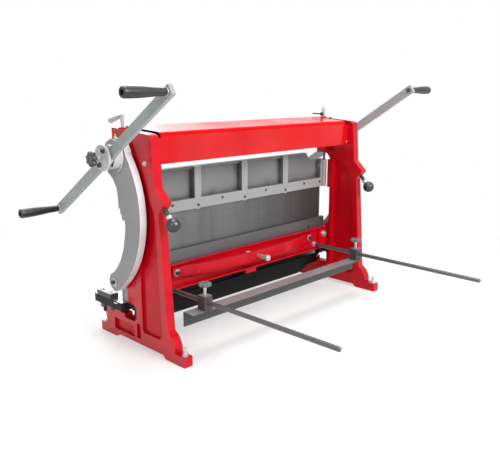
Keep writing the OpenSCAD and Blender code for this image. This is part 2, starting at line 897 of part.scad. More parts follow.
// small socket screws of the ram
module ram_screws() {
  color([0.1, 0.1, 0.11]) {
    for (i = [0:1]) both_sides() ram_screw((i + 0.5) * bay, lip_low + 19);
    for (x = [-bay, 0, bay]) ram_screw(x, lip_low + 9);
    both_sides() ram_screw(ram_half - 12, lip_low + 17);
    both_sides() {
      rod_y(28.4, 40, clamp_screw_x, 205, 2.5);
      rod_y(28.4, 31, clamp_screw_x, 205, 4);
    }
    for (i = [0:3]) both_sides() {
      rod_y(48, 70, (i + 0.5) * pitch, 165, 3);
      cap_screw_y(44, (i + 0.5) * pitch, 165, 5, 4);
    }
  }
}

module ram_screw(x, z) {
  rod_y(30, 50, x, z, 3);
  cap_screw_y(28.5, x, z, 4, 1.5);
}

// crescent link: eye on the eccentric, arched body, round foot on the pin
module link_outline() {
  difference() {
    union() {
      translate([ecc_y - 2, hub_z]) circle(r = disc_r + ring_wall);
      translate([pin_y, pin_z]) circle(r = 25);
      intersection() {
        translate([189, 357]) circle(r = 247);
        polygon([[-70, 530], [ecc_y - 30, 530], [ecc_y + 20, 480],
          [74, 460.5], [50.5, 444], [36, 422], [31.5, 393], [31.5, 372.5],
          [25, 371], [25, 358.5], [18.7, 357], [18.7, 345], [8, 343],
          [5.6, 333], [6.5, 322], [10, 301], [18, 269], [31, 240],
          [51.5, 212], [77, 190], [pin_y + 16, pin_z - 18],
          [pin_y + 4, pin_z - 24.8], [40, 140], [-70, 140]]);
      }
    }
    // eye, opened along Y because the small swing of the link is left out
    translate([ecc_y, hub_z]) circle(r = disc_r + 0.5);
    translate([ecc_y - 5.3, hub_z]) circle(r = disc_r + 0.5);
    translate([ecc_y - 5.3, hub_z - disc_r - 0.5]) square([5.3, disc_d + 1]);
    translate([pin_y, pin_z]) circle(r = 6 + run);
  }
}

// one link for the +X side, with a flat seat and a hole for its nipple
module link() {
  difference() {
    side_view(link_in, link_out) link_outline();
    nipple_place() {
      translate([0, 0, -4.8]) cylinder(r = 3, h = 6);
      cylinder(r = 6, h = 6);
    }
  }
}

module link_left() {
  color([0.58, 0.59, 0.6]) mirror([1, 0, 0]) link();
}

module link_right() {
  color([0.58, 0.59, 0.6]) link();
}

// pivot screws of the links, with a spacer and an outer washer
module link_pins() {
  color([0.7, 0.71, 0.72]) both_sides() {
    rod_x(ear_in, link_out + 2, pin_y, pin_z, 6);
    difference() {
      rod_x(ear_out, link_in, pin_y, pin_z, 13);
      rod_x(ear_out - 1, link_in + 1, pin_y, pin_z, 6);
    }
    difference() {
      rod_x(link_out, link_out + 2, pin_y, pin_z, 11);
      rod_x(link_out - 1, link_out + 3, pin_y, pin_z, 6);
    }
    difference() {
      rod_x(link_out + 2, link_out + 9, pin_y, pin_z, 7);
      hex_x(link_out + 4, link_out + 10, pin_y, pin_z, 3.6);
    }
  }
}

// ball knob on a screw that comes out of the nose of a frame
module ball_screw() {
  ball_place() {
    translate([0, 0, -49]) cylinder(r = 6, h = 49 + 22);
    translate([0, 0, 22]) cylinder(r = 8, h = 11);
    difference() {
      translate([0, 0, 33 + ball_d / 2 - 3]) sphere(d = ball_d);
      translate([0, 0, 33 - ball_d]) cylinder(r = ball_d, h = ball_d);
    }
  }
}

module ball_screw_left() {
  color([0.2, 0.2, 0.21]) mirror([1, 0, 0]) ball_screw();
}

module ball_screw_right() {
  color([0.2, 0.2, 0.21]) ball_screw();
}

// L shaped lever on the left head
module lock_lever() {
  color([0.6, 0.61, 0.62]) mirror([1, 0, 0]) lever_place() {
    translate([0, 0, -21]) cylinder(r = 4, h = 40);
    translate([0, 0, 14]) cylinder(r = 5, h = elbow - 14);
    translate([0, 0, elbow]) {
      sphere(r = 5.4);
      rotate([-105.4, 0, 0]) {
        cylinder(r1 = 5.2, r2 = 7.6, h = lever_len);
        translate([0, 0, lever_len]) sphere(r = 7.6);
      }
    }
  }
}

// screw with a cross rod on the right head
module lock_tee() {
  color([0.2, 0.2, 0.21]) lever_place() {
    translate([0, 0, -21]) cylinder(r = 4, h = 40);
    translate([0, 0, 5]) cylinder(r = 5.5, h = 31);
    translate([0, 8, 12]) sphere(r = 6.5);
    rod_y(0, 46, 0, 12, 2.4);
  }
}

// angle bar of the back gauge
gauge_left = -half + 17;
gauge_right = half - 55;
module gauge_bar() {
  color([0.25, 0.25, 0.26]) difference() {
    side_view(gauge_left, gauge_right) polygon([
      [gauge_y - 10, 121], [gauge_y - 10 + leg_w, 121],
      [gauge_y - 10 + leg_w, 121 - leg_w], [gauge_y - 14 + leg_w, 121 - leg_w],
      [gauge_y - 14 + leg_w, 117], [gauge_y - 10, 117]]);
    both_sides() translate([rod_x, gauge_y + 6, 110]) cylinder(r = 3, h = 20);
  }
}

// clamp blocks of the back gauge, sliding on the rods
module gauge_blocks() {
  color([0.13, 0.13, 0.14]) both_sides() difference() {
    union() {
      block(rod_x - 13, rod_x + 13, gauge_y - 8, gauge_y + 20, 121, 158);
      translate([rod_x, gauge_y + 6, 114]) cylinder(r = 3, h = 8);
      translate([rod_x, gauge_y + 6, 112]) cylinder(r = 6, h = 5);
    }
    rod_y(gauge_y - 9, gauge_y + 21, rod_x, rod_z, rod_d / 2 + run);
    translate([rod_x, gauge_y + 6, rod_z + rod_d / 2 - 2])
      cylinder(r = 4 + run, h = 30);
  }
}

// knob on a stud that pinches the rod
module gauge_knob() {
  translate([rod_x, gauge_y + 6, 0]) {
    translate([0, 0, rod_z + rod_d / 2 + slide])
      cylinder(r = 4, h = 184 - rod_z - rod_d / 2 - slide);
    translate([0, 0, 172]) cylinder(r = 8, h = 9);
    translate([0, 0, 181]) star_knob(17.5, 10);
  }
}

module gauge_knob_left() {
  color([0.15, 0.15, 0.16]) mirror([1, 0, 0]) gauge_knob();
}

module gauge_knob_right() {
  color([0.15, 0.15, 0.16]) gauge_knob();
}

frame_left();
frame_right();
roll_guard();
guard_screws();
roll_bushings();
bed_beam();
beam_pads();
camber_bar();
camber_screws();
camber_bolt();
beam_bolts();
table();
lower_blade();
table_clamps();
clamp_bolts();
chute();
gauge_rods();
rod_nuts();
guide_rods();
grease_nipples();
frame_pins();
foot_studs();
levelling_screws();
drive_roll();
drive_gear();
eccentrics();
hub_left();
hub_right();
hub_screws();
crank_arms();
grip_pins();
grip_washers();
grip_left_up();
grip_left_down();
grip_right_up();
grip_right_down();
clutch_knob();
pinch_roll();
pinch_gear();
rear_roll();
ram_casting();
ram_plate();
blade_clamp();
ram_beam();
upper_blade();
punch_clamp();
punches();
ram_screws();
link_left();
link_right();
link_pins();
ball_screw_left();
ball_screw_right();
lock_lever();
lock_tee();
gauge_bar();
gauge_blocks();
gauge_knob_left();
gauge_knob_right();
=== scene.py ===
import json
import math
import bpy
import bmesh
from mathutils import Matrix, Vector


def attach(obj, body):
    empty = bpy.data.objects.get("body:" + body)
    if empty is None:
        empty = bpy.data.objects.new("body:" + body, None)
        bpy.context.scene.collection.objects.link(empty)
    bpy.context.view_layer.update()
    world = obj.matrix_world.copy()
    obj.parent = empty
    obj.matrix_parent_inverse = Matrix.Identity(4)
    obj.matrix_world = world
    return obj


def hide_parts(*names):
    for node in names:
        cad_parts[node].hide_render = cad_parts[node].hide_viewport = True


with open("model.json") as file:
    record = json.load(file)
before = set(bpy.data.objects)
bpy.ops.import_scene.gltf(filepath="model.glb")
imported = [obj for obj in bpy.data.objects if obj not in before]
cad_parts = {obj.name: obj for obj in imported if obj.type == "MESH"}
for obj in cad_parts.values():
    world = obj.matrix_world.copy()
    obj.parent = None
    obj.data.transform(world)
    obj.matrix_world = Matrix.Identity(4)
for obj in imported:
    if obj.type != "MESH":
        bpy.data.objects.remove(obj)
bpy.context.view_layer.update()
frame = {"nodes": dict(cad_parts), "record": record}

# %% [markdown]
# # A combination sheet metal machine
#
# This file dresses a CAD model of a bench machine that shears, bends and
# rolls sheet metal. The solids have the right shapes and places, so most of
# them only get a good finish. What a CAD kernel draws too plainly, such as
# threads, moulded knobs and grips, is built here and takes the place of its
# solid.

nodes = frame["nodes"]

# %% [markdown]
# ## The camera
#
# The photograph was taken with a fairly long lens from the corner of the
# machine on the side of the back gauge. Its parallel edges, along and across,
# run to two vanishing points, which give the lens and the heading. The known
# width between the end frames gives the distance. So the camera is set by
# numbers, and other views only move it.

# %% Camera
VIEW_POINT = (-1.2995, -1.2706, 0.668)
HEADING, LOOK_DOWN = 45.45, 12.56
eye = bpy.data.cameras.new("photo_camera")
eye.lens = 44.44
eye.sensor_width = 36.0
eye.clip_end = 60.0
camera = bpy.data.objects.new("photo_camera", eye)
camera.location = VIEW_POINT
camera.rotation_euler = (math.radians(90.0 - LOOK_DOWN), 0.0, math.radians(-HEADING))
bpy.context.scene.collection.objects.link(camera)
bpy.context.scene.camera = camera
print("camera at", VIEW_POINT)

# %% [markdown]
# ## Adding a node in one call
#
# A finish is a tree of nodes, and each node takes the same steps: make it,
# choose its settings, then set or link its sockets. The settings come first,
# because some of them change which sockets there are. One function does all
# of it and hands back the wanted output, wrapped in a class for its kind.

# %% Nodes and wrapped outputs
class Output:
    """An output of a node, with the tree that the node is in."""

    def __init__(self, tree, socket):
        self.tree, self.socket = tree, socket


def plug(tree, slot, item):
    """Gives an input socket a link or a constant."""
    if isinstance(item, Output):
        tree.links.new(item.socket, slot)
    elif isinstance(item, (tuple, list)) and slot.type == "RGBA" and len(item) == 3:
        slot.default_value = (*item, 1.0)
    else:
        slot.default_value = item


def add_node(tree, kind, settings=None, values=None, want=0):
    """Adds any node. A tuple of wanted outputs gives a list."""
    node = tree.nodes.new(kind)
    for key, value in (settings or {}).items():
        setattr(node, key, value)
    for key, value in (values or {}).items():
        plug(tree, node.inputs[key], value)
    wanted = want if isinstance(want, tuple) else (want,)
    wrapped = [{"VALUE": Number, "SHADER": Output}.get(node.outputs[key].type, Triple)(
        tree, node.outputs[key]) for key in wanted]
    return wrapped if isinstance(want, tuple) else wrapped[0]

# %% [markdown]
# ## Writing shader maths as expressions
#
# A finish is a formula: a noise here, a mask there, a mix of two colours.
# Placed by hand, each plus and times is a Math node, and nobody can read the
# formula. So the class for a float output overloads the operators, and
# `1 - mask * 0.4` adds the nodes by itself. Colours and vectors have a class
# of their own, since a Math node would turn a colour grey: it adds Vector
# Math nodes.

# %% Numbers, and colours or vectors
class Number(Output):
    """A float output. Operators on it add Math nodes."""

    def math(self, operation, *items, clamp=False):
        return add_node(self.tree, "ShaderNodeMath",
                        {"operation": operation, "use_clamp": clamp}, dict(enumerate(items)))

    def __add__(self, other): return self.math("ADD", self, other)
    def __radd__(self, other): return self.math("ADD", other, self)
    def __sub__(self, other): return self.math("SUBTRACT", self, other)
    def __rsub__(self, other): return self.math("SUBTRACT", other, self)
    def __mul__(self, other): return self.math("MULTIPLY", self, other)
    def __rmul__(self, other): return self.math("MULTIPLY", other, self)
    def clamp(self): return self.math("ADD", self, 0.0, clamp=True)
    def absolute(self): return self.math("ABSOLUTE", self)


class Triple(Output):
    """A colour or vector output. Operators on it add Vector Math nodes."""

    def vector_math(self, operation, *items, want=0):
        return add_node(self.tree, "ShaderNodeVectorMath", {"operation": operation},
                        dict(enumerate(items)), want)

    def __mul__(self, other): return self.vector_math("MULTIPLY", self, other)
    def __rmul__(self, other): return self.vector_math("MULTIPLY", other, self)
    def dot(self, other): return self.vector_math("DOT_PRODUCT", self, other, want="Value")
    def vector_length(self): return self.vector_math("LENGTH", self, want="Value")

    def split(self):
        return add_node(self.tree, "ShaderNodeSeparateXYZ", None, {0: self}, (0, 1, 2))

# %% [markdown]
# ## One class for a finish
#
# Every material needs the same few moves: a texture in the object's own
# coordinates, a mix of colours, a bump, and the shader at the end. `Finish`
# holds one material and does each of them in one line. What it shares with
# the background stands in `Tree`. Object coordinates are in metres here, so
# a noise scale of 400 has a grain of about 2.5 mm on every part.

# %% The finish class
EVEN = (1.0, 1.0, 1.0)


class Tree:
    """The nodes of a material or of the world, empty at the start."""

    def __init__(self, owner):
        owner.use_nodes = True
        self.owner, self.tree = owner, owner.node_tree
        self.tree.nodes.clear()

    def node(self, kind, settings=None, values=None, want=0):
        return add_node(self.tree, kind, settings, values, want)

    def white_rays(self):
        """1 for the rays of the camera, of reflections and of glass."""
        seen, shine, glass = self.node("ShaderNodeLightPath", want=(
            "Is Camera Ray", "Is Glossy Ray", "Is Transmission Ray"))
        return (seen + shine + glass).clamp()


class Finish(Tree):
    def __init__(self, name):
        super().__init__(bpy.data.materials.new(name))

    def place(self, stretch=EVEN):
        return self.node("ShaderNodeTexCoord", want="Object") * stretch

    def face_normal(self):
        return self.node("ShaderNodeNewGeometry", want="True Normal").split()

    def noise(self, scale, detail, rough, stretch=EVEN, bend=0.0):
        return self.node("ShaderNodeTexNoise", None, {
            "Vector": self.place(stretch), "Scale": scale, "Detail": detail,
            "Roughness": rough, "Distortion": bend}, "Fac")

    def ramp(self, value, low, high):
        """Rises softly from 0 to 1 between two values."""
        return self.node("ShaderNodeMapRange", {"interpolation_type": "SMOOTHSTEP"},
                         {"Value": value, "From Min": low, "From Max": high})

    def mix(self, factor, first, second):
        return self.node("ShaderNodeMix", {"data_type": "RGBA"},
                         {0: factor, 6: first, 7: second}, 2)

    def round_edges(self, radius):
        return self.node("ShaderNodeBevel", {"samples": 6}, {"Radius": radius})

    def edge_mask(self, radius, low, high):
        hard = self.node("ShaderNodeNewGeometry", want="Normal")
        return self.ramp(1 - self.round_edges(radius).dot(hard), low, high)

    def bump(self, height, depth, normal, strength):
        values = {"Height": height, "Distance": depth, "Strength": strength}
        if normal is not None:
            values["Normal"] = normal
        return self.node("ShaderNodeBump", None, values, "Normal")

    def surface(self, **sockets):
        return self.node("ShaderNodeBsdfPrincipled", None, {
            key.replace("_", " "): value for key, value in sockets.items()})

    def end(self, shader):
        self.node("ShaderNodeOutputMaterial", None, {0: shader}, ())
        return self.owner

    def shade(self, **sockets):
        return self.end(self.surface(**sockets))


def tinted(colour, factor, lift=0.0):
    """A darker or paler form of a colour."""
    return tuple(min(1.0, c * factor + lift) for c in colour)

# %% [markdown]
# ## Red enamel on castings
#
# The end frames, the guard and the bed beam are sprayed with a thick glossy
# red enamel. Such paint has no grain of its own. What shows is the sand of
# the casting below it as a very soft swell, the orange peel of the spray, and
# a thinner coat along the edges. The edges are painted a little paler, partly
# for that thin coat and partly as a painted highlight. A flat red with a clear
# coat would look like plastic, so the swell and the peel feed one bump, and
# the noise also moves the roughness a little.
#
# The helper can also give some faces a second, lighter colour with the marks
# of the cutter: metal machined after painting, and partly painted light on
# faces that catch the lamps. Another option darkens where surfaces come close
# to each other, by ambient occlusion: dirt settled in the corners, and partly
# painted shade.

# %% Paint as a helper
SWELL_DEPTH, BUMP_SHARE, COAT_ROUGH = 0.0005, 0.7, 0.12


def paint(name, colour, rough, coat, swell=1.0, edge=0.0016, shine=0.5, bare_and_lit=None,
          bare_colour=(0.6, 0.605, 0.61), bare_metal=0.85, bare_rough=0.34, dirt_and_shade=0.0):
    """Sprayed paint. Where the second mask is 1, a lighter colour shows: machined metal, and
    partly painted light.
    """
    f = Finish(name)
    casting = f.noise(45.0, 4.0, 0.55)
    peel = f.noise(520.0, 2.0, 0.5)
    cloud = f.noise(5.0, 3.0, 0.5)
    tone = f.mix(f.ramp(cloud, 0.3, 0.75), tinted(colour, 0.82), colour)
    soft = None
    if edge:
        soft = f.round_edges(edge)
        # Paler edges: partly a thinner coat, partly a painted highlight.
        tone = f.mix(f.edge_mask(edge, 0.03, 0.35) * 0.35, tone, tinted(colour, 1.06, 0.03))
    if dirt_and_shade:
        # Darker near close surfaces by ambient occlusion: settled dirt, and partly painted shade
        # in the corners.
        hollow = 1 - f.node("ShaderNodeAmbientOcclusion", {"samples": 6}, {"Distance": 0.03}, "AO")
        stain = f.ramp(hollow + (f.noise(22.0, 4.0, 0.6, bend=0.6) - 0.5) * 1.1, 0.2, 0.8)
        tone = f.mix(stain * dirt_and_shade, tone, tinted(colour, 0.3))
    height = casting * 0.8 + peel * 0.12
    roughness = (rough + (cloud - 0.5) * 0.16 + (peel - 0.5) * 0.08).clamp()
    coat = coat(f) if callable(coat) else coat
    metallic = 0.0
    if bare_and_lit:
        mask = bare_and_lit(f)
        kept = 1 - mask
        cut = f.noise(1.0, 3.0, 0.6, (25.0, 700.0, 700.0))
        tone = f.mix(mask, tone, f.mix(cut, tinted(bare_colour, 0.8), bare_colour))
        metallic = mask * bare_metal
        roughness = roughness * kept + (bare_rough + (cut - 0.5) * 0.25) * mask
        height = height * kept + cut * 0.06 * mask
        coat = kept * coat
    return f.shade(
        Base_Color=tone, Metallic=metallic, Roughness=roughness,
        Normal=f.bump(height, SWELL_DEPTH * swell, soft, BUMP_SHARE),
        Specular_IOR_Level=shine, Coat_Weight=coat, Coat_Roughness=COAT_ROUGH)

# %% [markdown]
# ## Two reds
#
# The red of the photograph isn't one red. The outer sides of the end frames
# are hazier than the inner ones, and the front of the guard carries the clouds
# of a thin waxy film, except on its nose. Only the clear coat changes, so a
# function of the place gives the coat its weight.

# %% Red finishes
HAZE_FROM, HAZE_FULL = 0.418, 0.42


def film(f):
    """A thin waxy film lies in soft clouds on what is flat, and not on the nose."""
    up = f.face_normal()[2]
    nose = f.ramp(up, 0.04, 0.25) * (1 - f.ramp(up, 0.9, 0.98))
    return (1 - nose) * (0.25 + 0.5 * f.ramp(f.noise(7.0, 2.0, 0.4), 0.3, 0.7))


def dusty_outside(f):
    """Hands and dust leave a light haze on the outer faces of the end frames."""
    return 0.26 + 0.4 * f.ramp(f.place().split()[0].absolute(), HAZE_FROM, HAZE_FULL)


red_enamel = paint("red_enamel", (0.62, 0.002, 0.011), 0.3, dusty_outside, shine=0.1)
guard_enamel = paint("guard_enamel", (0.64, 0.003, 0.006), 0.3, film, shine=0.05)
print("made", red_enamel.name, guard_enamel.name)

# %% [markdown]
# ## Grey and black paints
#
# The ram casting and the crescent links are painted a mid grey that lets more
# of the casting through, and the crank arms a lighter, smoother grey. The
# table, its clamps and the gauge bar are black with lighter tops: machined
# bare, and partly painted light from above. They share the recipe of the
# enamel and differ in numbers and masks only, which is what the helper is
# for.

# %% Grey and black paints
RIB_FACE, CELL_FACE = 0.0304, 0.0330


def faced_and_lit_rib_fronts(f):
    """Lip and rib fronts paler than the recessed cells: faced off, and partly painted light and
    shade.
    """
    return 1 - f.ramp(f.place().split()[1], RIB_FACE, CELL_FACE)


def ground_and_lit_link_rim(f):
    """The edge of a link is paler than its painted sides: ground, and partly painted light from
    the front lamp.
    """
    return 1 - f.ramp(f.face_normal()[0].absolute(), 0.3, 0.6)


def machined_and_lit_tops(f):
    """Faces that look up are lighter: machined, and partly painted light from above."""
    return f.ramp(f.face_normal()[2], 0.8, 0.95)


grey_casting = paint("grey_casting_paint", (0.215, 0.217, 0.22), 0.5, 0.05, 1.5, 0.0012,
                     bare_and_lit=faced_and_lit_rib_fronts, bare_colour=(0.37, 0.372, 0.375), bare_metal=0.1,
                     bare_rough=0.5, dirt_and_shade=1.0)
grey_link = paint("grey_link_paint", (0.335, 0.337, 0.34), 0.42, 0.12, 0.8, 0.0010,
                  bare_and_lit=ground_and_lit_link_rim, bare_colour=(0.74, 0.765, 0.77), bare_metal=0.0,
                  bare_rough=0.4)
grey_arm = paint("grey_arm_paint", (0.435, 0.46, 0.465), 0.5, 0.0, 0.02, edge=0, shine=0.2)
pale_zinc = paint("pale_zinc_paint", (0.62, 0.625, 0.63), 0.3, 0.2, 0.3, 0.0006)
black_paint = paint("black_paint", (0.012, 0.012, 0.013), 0.5, 0.0, 0.8, 0.0009, shine=0.2,
                    bare_and_lit=machined_and_lit_tops, bare_colour=(0.4, 0.404, 0.408))
clamp_black = paint("clamp_black", (0.08, 0.08, 0.082), 0.45, 0.0, 0.8, 0.0009, shine=0.4,
                    bare_and_lit=machined_and_lit_tops, bare_colour=(0.2, 0.202, 0.205))
chute_black = paint("chute_black", (0.003, 0.003, 0.0035), 0.6, 0.0, 0.5, 0.0009, shine=0.03)
bar_grey = paint("gauge_bar_grey", (0.06, 0.061, 0.063), 0.42, 0.0, 0.4, 0.0007, shine=0.4,
                 bare_and_lit=machined_and_lit_tops, bare_colour=(0.42, 0.425, 0.43), bare_metal=0.6, bare_rough=0.42)
print("made the greys and the blacks")

# %% [markdown]
# ## Machined, plated and blackened steel
#
# Bare steel on this machine is of three kinds. The blades and the brake tools
# are ground along their length, so their grain is a noise pulled out to long
# streaks that moves the roughness and a bump of a few hundredths of a
# millimetre. The rolls are turned, so theirs runs round the axis. Screws and
# rods are blackened or plated with zinc, which is less of a mirror, so those
# are not fully metallic.

# %% Metals
WORN_AND_LIT_EDGE = 0.0006


def steel(name, colour, rough, streak, depth=0.00004, metallic=1.0, stain=0.2):
    """Metal with a grain that `streak` pulls out along the axes."""
    f = Finish(name)
    grain = f.noise(1.0, 3.0, 0.6, streak)
    cloud = f.noise(9.0, 4.0, 0.6, bend=0.4)
    worn_and_lit_rim = f.edge_mask(WORN_AND_LIT_EDGE, 0.03, 0.35)
    dark = tinted(colour, 0.62)
    tone = f.mix(f.ramp(cloud, 0.42, 0.8) * stain, colour, dark)
    tone = f.mix((grain - 0.5) * 0.5 + 0.2, tone, dark)
    # Paler edges: wear, and partly a painted highlight.
    tone = f.mix(worn_and_lit_rim * 0.6, tone, tinted(colour, 1.25, 0.06))
    return f.shade(
        Base_Color=tone, Metallic=metallic,
        Roughness=(rough + (grain - 0.5) * 0.3 + (cloud - 0.5) * 0.12).clamp(),
        Normal=f.bump(grain, depth, f.round_edges(WORN_AND_LIT_EDGE), 0.8))


ground_steel = steel("ground_blade_steel", (0.42, 0.43, 0.44), 0.34, (14, 900, 900))
tool_steel = steel("tool_steel", (0.17, 0.172, 0.178), 0.46, (20, 600, 600), metallic=0.75)
roll_steel = steel("turned_roll_steel", (0.48, 0.485, 0.49), 0.3, (260, 12, 12), 0.00001)
blackened = steel("blackened_steel", (0.11, 0.111, 0.115), 0.26, (120, 700, 120), metallic=0.85)
zinc_plate = steel("zinc_plate", (0.66, 0.675, 0.69), 0.3, (300, 300, 300), metallic=0.75,
                   stain=0.4)
bronze = steel("bearing_bronze", (0.52, 0.30, 0.12), 0.34, (600, 40, 40))
brass = steel("brass", (0.72, 0.50, 0.17), 0.28, (400, 400, 400))
rod_steel = steel("gauge_rod_steel", (0.15, 0.151, 0.154), 0.3, (500, 12, 500), metallic=0.5)
ball_steel = steel("ball_knob_steel", (0.09, 0.091, 0.093), 0.36, (200, 200, 200), stain=0.3)
print("materials so far:", len(bpy.data.materials))

# %% [markdown]
# ## The brushed plate of the ram
#
# The wide plate is brushed along its length. It is the largest plain surface
# of the machine, so it has a recipe of its own. The photograph shows it
# darker to the right, and that is painted into its colour: a painted
# reflection of darker surroundings. It also has faint upright marks where the
# belt was lifted. Those stand at known places along X.

# %% Brushed plate
LIFT_MARKS = (-0.1266, 0.0745, 0.2268)
DARK_REFLECTION_FROM, DARK_REFLECTION_FULL = -0.2, 0.37


def brushed_plate(name, colour):
    f = Finish(name)
    along = f.place().split()[0]
    grain = f.noise(1.0, 4.0, 0.7, (7.0, 500.0, 520.0))
    bands = f.noise(1.0, 3.0, 0.5, (16.0, 1.0, 2.0))
    marks = 0.0
    for x in LIFT_MARKS:
        marks = (1 - f.ramp((along - x).absolute(), 0.0008, 0.0022)) + marks
    dark = tinted(colour, 0.3)
    # Painted reflection: the colour darkens towards +X.
    tone = f.mix(f.ramp(along, DARK_REFLECTION_FROM, DARK_REFLECTION_FULL) * 0.8, colour, dark)
    tone = f.mix(((grain - 0.5) * 1.6 + 0.4).clamp() * 0.6, tone, tinted(colour, 0.35))
    tone = f.mix((bands - 0.4).clamp() + marks * 0.35, tone, dark)
    return f.shade(
        Base_Color=tone, Metallic=0.7,
        Roughness=(0.42 + (grain - 0.5) * 0.35).clamp(),
        Normal=f.bump(grain, 0.00005, f.round_edges(WORN_AND_LIT_EDGE), 0.8))


plate_steel = brushed_plate("brushed_plate_steel", (0.215, 0.217, 0.221))
print("made", plate_steel.name)

# %% [markdown]
# ## Moulded plastics
#
# The crank grips are smooth black plastic with a dull sheen, and the star
# knobs a harder resin with a real shine. Both show the faint flow of the
# mould as a large soft noise in the roughness and in the colour.

# %% Plastics
MOULD_EDGE = 0.0008


def plastic(name, colour, rough, coat, grain_depth, coat_rough=0.08):
    f = Finish(name)
    flow = f.noise(30.0, 3.0, 0.5, bend=0.8)
    grain = f.noise(1500.0, 2.0, 0.5)
    tone = f.mix(flow, tinted(colour, 0.75), tinted(colour, 1.3))
    # Paler edges: a painted highlight.
    tone = f.mix(f.edge_mask(MOULD_EDGE, 0.05, 0.4) * 0.3, tone, tinted(colour, 1.8, 0.02))
    return f.shade(
        Base_Color=tone,
        Roughness=(rough + (flow - 0.5) * 0.2 + (grain - 0.5) * 0.06).clamp(),
        Normal=f.bump(grain, grain_depth, f.round_edges(MOULD_EDGE), 0.6),
        Coat_Weight=coat, Coat_Roughness=coat_rough)


grip_plastic = plastic("grip_plastic", (0.011, 0.011, 0.012), 0.38, 0.25, 0.00006, 0.25)
knob_resin = plastic("knob_resin", (0.03, 0.03, 0.032), 0.34, 0.3, 0.00002)
grey_resin = plastic("grey_resin", (0.13, 0.131, 0.134), 0.3, 0.4, 0.00002)
print("plastics:", grip_plastic.name, knob_resin.name, grey_resin.name)

# %% [markdown]
# ## Giving each node its finish
#
# The record of the model names a material slot for every node. The first
# table says which finish stands for each slot, and the loop stops if a slot
# has none. The second names the nodes with a finish of their own.

# %% Finishes by slot
finish_of = {
    "red_paint": red_enamel, "link_paint": grey_link, "arm_paint": grey_arm,
    "ram_paint": grey_casting, "dark_steel": tool_steel, "blade_steel": ground_steel,
    "roll_steel": roll_steel, "black_oxide": blackened, "zinc": zinc_plate,
    "black_paint": black_paint, "bronze": bronze, "brass": brass,
    "black_plastic": grip_plastic, "knob_plastic": knob_resin, "ball_steel": ball_steel,
}
own_finish = {
    "chute": chute_black, "gauge_bar": bar_grey, "gauge_blocks": bar_grey,
    "lock_lever": pale_zinc, "hub_left": pale_zinc, "hub_right": pale_zinc,
    "ram_beam": grey_arm, "roll_guard": guard_enamel, "table_clamps": clamp_black,
    "ram_plate": plate_steel,
}
slot_of = {n["node"]: n["material_slot"] for n in frame["record"]["subparts"]}
for name, thing in nodes.items():
    thing.data.materials.clear()
    thing.data.materials.append(own_finish.get(name, finish_of[slot_of[name]]))
print("finished", len(nodes), "nodes of", len(finish_of), "slots")

# %% [markdown]
# ## From a mesh to a piece
#
# A piece needs more than a mesh. It gets a finish, it rides on the body that
# carries it, and the CAD nodes it stands for are hidden. Smooth shading would
# smear the light over large flat faces, so edges sharper than the crease stay
# sharp, and weighted normals let the large faces win over the small ones.

# %% Pieces
CREASE = 38.0
body_of = {name: body for body, names in frame["record"]["behaviour"]["bodies"].items()
           for name in names}


def as_piece(bm, name, body, slot, stands_for=(), crease=CREASE, finish=None):
    """Turns a finished bmesh into a piece with its finish and body. Without a finish, the slot
    chooses one.
    """
    for edge in bm.edges:
        edge.smooth = not edge.is_manifold or edge.calc_face_angle(0.0) < math.radians(crease)
    for face in bm.faces:
        face.smooth = True
    mesh = bpy.data.meshes.new(name + "_shape")
    bm.to_mesh(mesh)
    bm.free()
    mesh.materials.append(finish or finish_of[slot])
    thing = bpy.data.objects.new(name, mesh)
    bpy.context.scene.collection.objects.link(thing)
    weigh = thing.modifiers.new("weighted_normals", "WEIGHTED_NORMAL")
    weigh.weight = 80
    weigh.keep_sharp = True
    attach(thing, body)
    if stands_for:
        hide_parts(*stands_for)
    print(f"{name}: {len(mesh.polygons)} faces on {body}")

# %% [markdown]
# ## Rounded castings
#
# A CAD kernel leaves every edge as sharp as a knife, but castings and folded
# sheet have round edges, and even a sawn bar is broken with a file. A shader
# can fake that, but a real round edge also catches the light in its outline.
# So each of these pieces is made again from the mesh of its CAD node: the
# triangles of a flat face are dissolved into one face and the sharp edges are
# bevelled. Very short edges are left alone, because they have no room for it.

# %% Castings and plates with round edges
WELD, COPLANAR, SHARP, SHORTEST = 2e-6, 0.4, 28.0, 0.0018


def break_edges(bm, width):
    """Rounds every edge that is sharp and long enough."""
    sharp = [e for e in bm.edges if e.is_manifold and e.calc_length() > SHORTEST
             and e.calc_face_angle(0.0) > math.radians(SHARP)]
    bmesh.ops.bevel(bm, geom=sharp, offset=width, segments=2, profile=0.5,
                    affect="EDGES", clamp_overlap=True)


edge_width = {
    "frame_left": 0.0016, "frame_right": 0.0016, "roll_guard": 0.0009, "bed_beam": 0.001,
    "beam_pads": 0.0012, "ram_casting": 0.0012, "ram_beam": 0.0012,
    "link_left": 0.0016, "link_right": 0.0016, "crank_arms": 0.0012, "hub_left": 0.001,
    "hub_right": 0.001, "table": 0.0012, "table_clamps": 0.0012, "gauge_bar": 0.0008,
    "gauge_blocks": 0.001, "blade_clamp": 0.0006, "ram_plate": 0.0004, "chute": 0.0006,
}
for node, width in edge_width.items():
    bm = bmesh.new()
    bm.from_mesh(nodes[node].data)
    bmesh.ops.remove_doubles(bm, verts=bm.verts, dist=WELD)
    bmesh.ops.dissolve_limit(bm, angle_limit=math.radians(COPLANAR), verts=bm.verts,
                             edges=bm.edges, delimit=set())
    break_edges(bm, width)
    as_piece(bm, node + "_rounded", body_of[node], slot_of[node], (node,),
             finish=own_finish.get(node))

# %% [markdown]
# ## Round things by rings
#
# Screws, nuts, knobs and grips are turned, in a workshop and here. A piece is
# a list of rings, from one end to the other, each with a height and a radius.
# Either may be a function of the angle, which is why one helper does so much:
# a constant radius gives a turned part, a hexagon cut by a cone gives a real
# nut, a wave gives a star knob, and a height that climbs with the angle gives
# a true thread.

